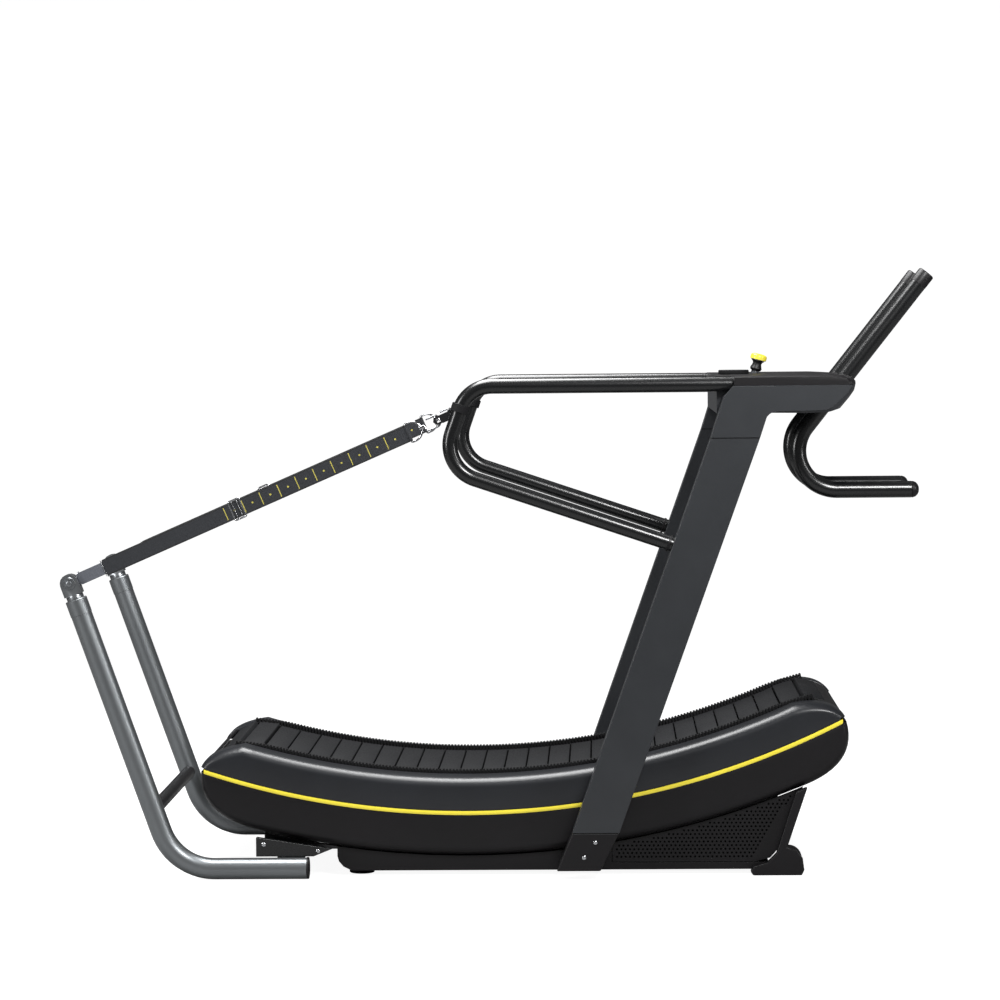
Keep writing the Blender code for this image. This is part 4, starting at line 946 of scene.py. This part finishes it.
# %% Webbing, tab, slider, ring and hook
for word, side in SIDES.items():
    body = "strap_" + word
    long_run = [(0.030, 0.0112, 0.0019), (0.038, 0.0150, 0.0019), (0.098, 0.0160, 0.0019),
                (0.102, 0.0222, 0.0019)]
    long_run += [(0.102 + 0.8748 * k / 40, 0.0225, 0.0019) for k in range(1, 41)]
    put(strap_slab("webbing_" + word, side, long_run, WEBBING), body, "webbing", body)
    tab = [(0.024, 0.0130, 0.0026), (0.030, 0.0165, 0.0034), (0.094, 0.0165, 0.0038),
           (0.0965, 0.0160, 0.0030)]
    put(strap_slab("sewn_tab_" + word, side, tab, TAB_WEBBING), body, "webbing")
    turned("strap_eye_" + word, strap_point(side, 0, 0, -0.0034), (0, 1, 0),
           [(0, 0.0072), (0, 0.0105), (0.0012, 0.0112), (0.0056, 0.0112), (0.0068, 0.0105),
            (0.0068, 0.0072)], PLATED, body, "chrome", sides=32)
    link = bar_on_path("eye_link_" + word, bent(
        [strap_point(side, 0.008, 0.0062), strap_point(side, 0.024, 0.0082),
         strap_point(side, 0.032, 0.0195)], (0.006,)), 0.0022, PLATED, 12)
    put(link, body, "chrome")
    put(cross_bar("tab_bar_" + word, side, 0.0975, 0.0225, 0.0035 * side, 0.0012, PLATED, 10),
        body, "chrome")
    put(cross_bar("webbing_fold_" + word, side, RING_BAR, 0.0222, 0.0, 0.0050, WEBBING, 20),
        body, "webbing")
    frame_points = bent([strap_point(side, a, t) for a, t in (
        (0.485, -SLIDER_HALF), (0.469, -SLIDER_HALF), (0.469, SLIDER_HALF),
        (0.501, SLIDER_HALF), (0.501, -SLIDER_HALF), (0.485, -SLIDER_HALF))], (0.004,) * 4)
    slider = bar_on_path("slider_frame_" + word, frame_points[:-1], 0.0024, PLATED, 12, cyclic=True)
    put(slider, "buckle_" + word, "chrome", "strap_buckle_" + word)
    for k, along in enumerate((0.478, 0.492)):
        for face in (-1, 1):
            put(cross_bar(f"slider_bar_{word}_{k}_{'near' if face < 0 else 'far'}", side, along,
                          SLIDER_HALF, 0.0040 * face, 0.0013, PLATED, 10),
                "buckle_" + word, "chrome")
    leg = RING_BAR + RING_LEG
    ring_points = [strap_point(side, RING_BAR, 0), strap_point(side, RING_BAR, -RING_HALF),
                   strap_point(side, leg, -RING_HALF)]
    ring_points = bent(ring_points, (0.004,))
    ring_points += [strap_point(side, leg + RING_HALF * sin(t), -RING_HALF * cos(t))
                    for t in (pi * k / 24 for k in range(1, 24))]
    ring_points += bent([strap_point(side, leg, RING_HALF), strap_point(side, RING_BAR, RING_HALF),
                         strap_point(side, RING_BAR, 0.004)], (0.004,))
    put(bar_on_path("ring_wire_" + word, ring_points, 0.0027, PLATED, 14, cyclic=True),
        "ring_" + word, "chrome", "d_ring_" + word)
    ring_top = RING_BAR + RING_LEG + RING_HALF
    hook_path = bent([strap_point(side, a, t) for a, t in (
        (ring_top + 0.0085, 0.0), (ring_top + 0.014, -HOOK_HALF), (HOOK_NOSE - 0.012, -HOOK_HALF),
        (HOOK_NOSE, -0.004), (HOOK_NOSE, 0.004), (HOOK_NOSE - 0.010, HOOK_HALF - 0.0005))],
        (0.004, 0.008, 0.004, 0.004))
    put(bar_on_path("hook_wire_" + word, hook_path, 0.0029, PLATED, 14), "hook_" + word, "chrome",
        "snap_hook_" + word)
    turned("hook_swivel_" + word, strap_point(side, ring_top - 0.0062, 0), STRAP_LINE,
           [(0, 0.0044), (0.0008, 0.0052), (0.0040, 0.0052), (0.0055, 0.0064),
            (0.0110, 0.0064), (0.0120, 0.0050), (0.0150, 0.0048), (0.0152, 0.0010)],
           PLATED, "hook_" + word, "chrome", sides=24)
    put(bar_on_path("gate_wire_" + word,
                    [strap_point(side, ring_top + 0.0187, HOOK_HALF - 0.0005),
                     strap_point(side, (ring_top + HOOK_NOSE) / 2, HOOK_HALF - 0.0005),
                     strap_point(side, HOOK_NOSE - 0.0140, HOOK_HALF - 0.0005)], 0.0026, PLATED,
                    12), "gate_" + word, "chrome", "hook_gate_" + word)

# %% [markdown]
# ## Lever, bottle holder, wheels and feet
# Small turned parts. Each is a profile spun round its own axis, read from the joint it turns on
# or the box it fills.

# %% Lever and cap
LEVER_LEAN = radians(15)
lever_pivot = Vector(joints["resistance_lever_turn"]["pos_m"])
lever_axis = Vector((sin(LEVER_LEAN), 0, cos(LEVER_LEAN)))
stem = [(0.012, 0.0070), (0.040, 0.0066), (0.044, 0.0080), (0.047, 0.0140), (0.052, 0.0165),
        (0.060, 0.0135), (0.066, 0.0120), (0.070, 0.0135), (0.0745, 0.0185), (0.0760, 0.0190)]
turned("lever_stem", lever_pivot, lever_axis, stem, BLACK_ABS, "lever", "black_plastic",
       "resistance_lever")
boot = [(0.0350, 0.0068), (0.0350, 0.0116), (0.0370, 0.0118), (0.0462, 0.0098),
        (0.0466, 0.0068)]
turned("lever_boot", lever_pivot, lever_axis, boot, SATIN_GREY, "lever", "grey_paint")
dome = [(0.0763, 0.0185), (0.0766, 0.0215), (0.0775, 0.0224), (0.0865, 0.0225), (0.0895, 0.0212),
        (0.0915, 0.0180), (0.0928, 0.0120), (0.0933, 0.0020)]
turned("lever_knob", lever_pivot, lever_axis, dome, YELLOW_VINYL, "lever", "yellow_trim",
       "lever_cap")

# %% Bottle holder
low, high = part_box("bottle_holder")
cup = (low + high) / 2
wall = [(0, 0.0285), (0.0010, 0.0305), (0.0050, 0.0345), (0.0820, 0.0360), (0.0828, 0.0412),
        (0.0840, 0.0418), (0.0920, 0.0412), (0.0938, 0.0395), (0.0938, 0.0345), (0.0925, 0.0332),
        (0.0080, 0.0302), (0.0050, 0.0280), (0.0046, 0.0020)]
turned("bottle_cup", (cup.x, cup.y, low.z), (0, 0, 1), wall, BLACK_RUBBER, "frame",
       "black_rubber", "bottle_holder")

# %% Wheels and levelling feet
for word, side in SIDES.items():
    low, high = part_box("transport_wheel_" + word)
    hub = (low + high) / 2
    half, rim = (high.y - low.y) / 2, (high.z - low.z) / 2
    tyre = [(-half, 0.0070), (-half, 0.0120), (-half + 0.0015, 0.0125),
            (-half + 0.0015, rim - 0.009), (-half, rim - 0.008), (-half, rim - 0.003),
            (-half + 0.003, rim), (half - 0.003, rim), (half, rim - 0.003),
            (half, rim - 0.008), (half - 0.0015, rim - 0.009),
            (half - 0.0015, 0.0125), (half, 0.0120), (half, 0.0070)]
    turned("wheel_tyre_" + word, hub, (0, 1, 0), tyre, BLACK_RUBBER, "wheel_" + word,
           "black_rubber", "transport_wheel_" + word)
    low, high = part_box("levelling_foot_" + word)
    foot = (low + high) / 2
    pad = [(0, 0.0300), (0.0012, 0.0330), (0.0055, 0.0336), (0.0068, 0.0320), (0.0078, 0.0180),
           (0.0088, 0.0058), (0.0400, 0.0058)]
    turned("foot_pad_" + word, (foot.x, foot.y, low.z), (0, 0, 1), pad, BLACK_RUBBER,
           "foot_" + word, "black_rubber", "levelling_foot_" + word)

# %% [markdown]
# ## Bolts
# Cap screws hold the rear brackets and the upright blocks. They repeat, so one turned head is
# copied to each place by a small tree.

# %% Bolt heads
bolt_tree, given = new_tree("bolts_on_points", [("Shape", "Object"), ("Material", "Material")])
spots = add_node(bolt_tree, "GeometryNodeMeshToPoints", {"Mesh": given["Geometry"]})
head = add_node(bolt_tree, "GeometryNodeObjectInfo", {"Object": given["Shape"]})
bolts = add_node(bolt_tree, "GeometryNodeInstanceOnPoints",
                 {"Points": spots.outputs["Points"], "Instance": head.outputs["Geometry"]})
end_tree(bolt_tree, bolts.outputs["Instances"], given["Material"])
BOLT_PLACES = ((-0.634, 0.4010, 0.090), (-0.490, 0.4010, 0.072), (0.215, 0.4620, 0.060),
               (0.245, 0.4620, 0.100))
for word, side in SIDES.items():
    shape = lathe("bolt_head", (0, 0, 0), (0, side, 0),
                  [(-0.001, 0.0055), (0.0008, 0.0058), (0.0030, 0.0052), (0.0038, 0.0040),
                   (0.0038, 0.0026), (0.0018, 0.0024), (0.0018, 0.0004)], PLATED, 16)
    mesh = bpy.data.meshes.new("bolt_places")
    mesh.from_pydata([(x, side * y, z) for x, y, z in BOLT_PLACES], [], [])
    put(grown("bolts_" + word, bolt_tree, mesh, {"Shape": shape, "Material": PLATED}), "frame",
        "chrome")
    bpy.data.objects.remove(shape)

# %% [markdown]
# ## Finish
# The paper and the world look white where the camera's rays meet them and give the object
# only a dim light, so that its dark finishes stay dark.

# %% Finishes for the solids that stay
KEPT = {"base_frame": BLACK_COAT, "front_drum": TURNED_STEEL, "rear_drum": TURNED_STEEL,
        "flywheel": TURNED_STEEL, "drive_belt": BLACK_RUBBER, "brake_arm": SATIN_GREY}
for word in SIDES:
    KEPT.update({"track_rail_" + word: SATIN_GREY, "front_bearing_" + word: TURNED_STEEL})
for node, material in KEPT.items():
    nodes[node].data.materials.clear()
    nodes[node].data.materials.append(material)
print("kept solids", len(KEPT))

# %% Studio floor and light
mesh_data = bmesh.new()
sweep = [(-9.0, 0.0)] + [(6.0 + 2.5 * sin(t), 2.5 - 2.5 * cos(t))
                         for t in (pi / 2 * k / 16 for k in range(17))] + [(8.5, 12.0)]
ends = [[mesh_data.verts.new((x, y, z - 0.0005)) for y, z in sweep] for x in (-14.0, 14.0)]
for k in range(len(sweep) - 1):
    mesh_data.faces.new((ends[0][k], ends[0][k + 1], ends[1][k + 1], ends[1][k]))
PAPER_GLOW, WORLD_LIGHT, WORLD_SEEN = 0.93, 0.16, 1.0
PAPER = bpy.data.materials.new("white_paper_sweep")
PAPER.use_nodes = True
tree = PAPER.node_tree
shader = tree.nodes["Principled BSDF"]
shader.inputs["Base Color"].default_value = linear("#8c8c8c")
shader.inputs["Roughness"].default_value = 0.9
shader.inputs["Specular IOR Level"].default_value = 0.1
shader.inputs["Emission Color"].default_value = linear("#ffffff")
seen = add_node(tree, "ShaderNodeLightPath").outputs["Is Camera Ray"]
lift = add_node(tree, "ShaderNodeMath", {0: seen, 1: PAPER_GLOW}, operation="MULTIPLY")
tree.links.new(lift.outputs["Value"], shader.inputs["Emission Strength"])
backdrop = make_piece("paper_sweep", mesh_data, PAPER)

world = bpy.data.worlds.new("studio")
world.use_nodes = True
tree = world.node_tree
background = tree.nodes["Background"]
background.inputs["Color"].default_value = linear("#ffffff")
seen = add_node(tree, "ShaderNodeLightPath").outputs["Is Camera Ray"]
sky = add_node(tree, "ShaderNodeMapRange",
               {"Value": seen, "To Min": WORLD_LIGHT, "To Max": WORLD_SEEN})
tree.links.new(sky.outputs["Result"], background.inputs["Strength"])
bpy.context.scene.world = world
bpy.context.scene.view_settings.view_transform = "Standard"


def soft_box(name, place, aim, size, power):
    data = bpy.data.lights.new(name, "AREA")
    data.shape = "RECTANGLE"
    data.size, data.size_y = size
    data.energy = power
    lamp = bpy.data.objects.new(name, data)
    bpy.context.scene.collection.objects.link(lamp)
    lamp.location = place
    lamp.rotation_mode = "QUATERNION"
    lamp.rotation_quaternion = (Vector(aim) - Vector(place)).to_track_quat("-Z", "Y")


soft_box("overhead", (-0.6, 0.2, 4.2), (0, 0, 0.4), (3.4, 1.6), 300)
soft_box("left_strip", (-3.6, -2.6, 2.2), (0, 0, 0.7), (0.6, 2.6), 95)
soft_box("front_strip", (3.6, -2.0, 2.0), (0.3, 0, 0.8), (0.4, 2.2), 40)
soft_box("console_box", (1.5, -3.0, 3.0), (0.75, -0.4, 1.25), (0.9, 0.9), 120)
print("lights", [light.name for light in bpy.data.lights])
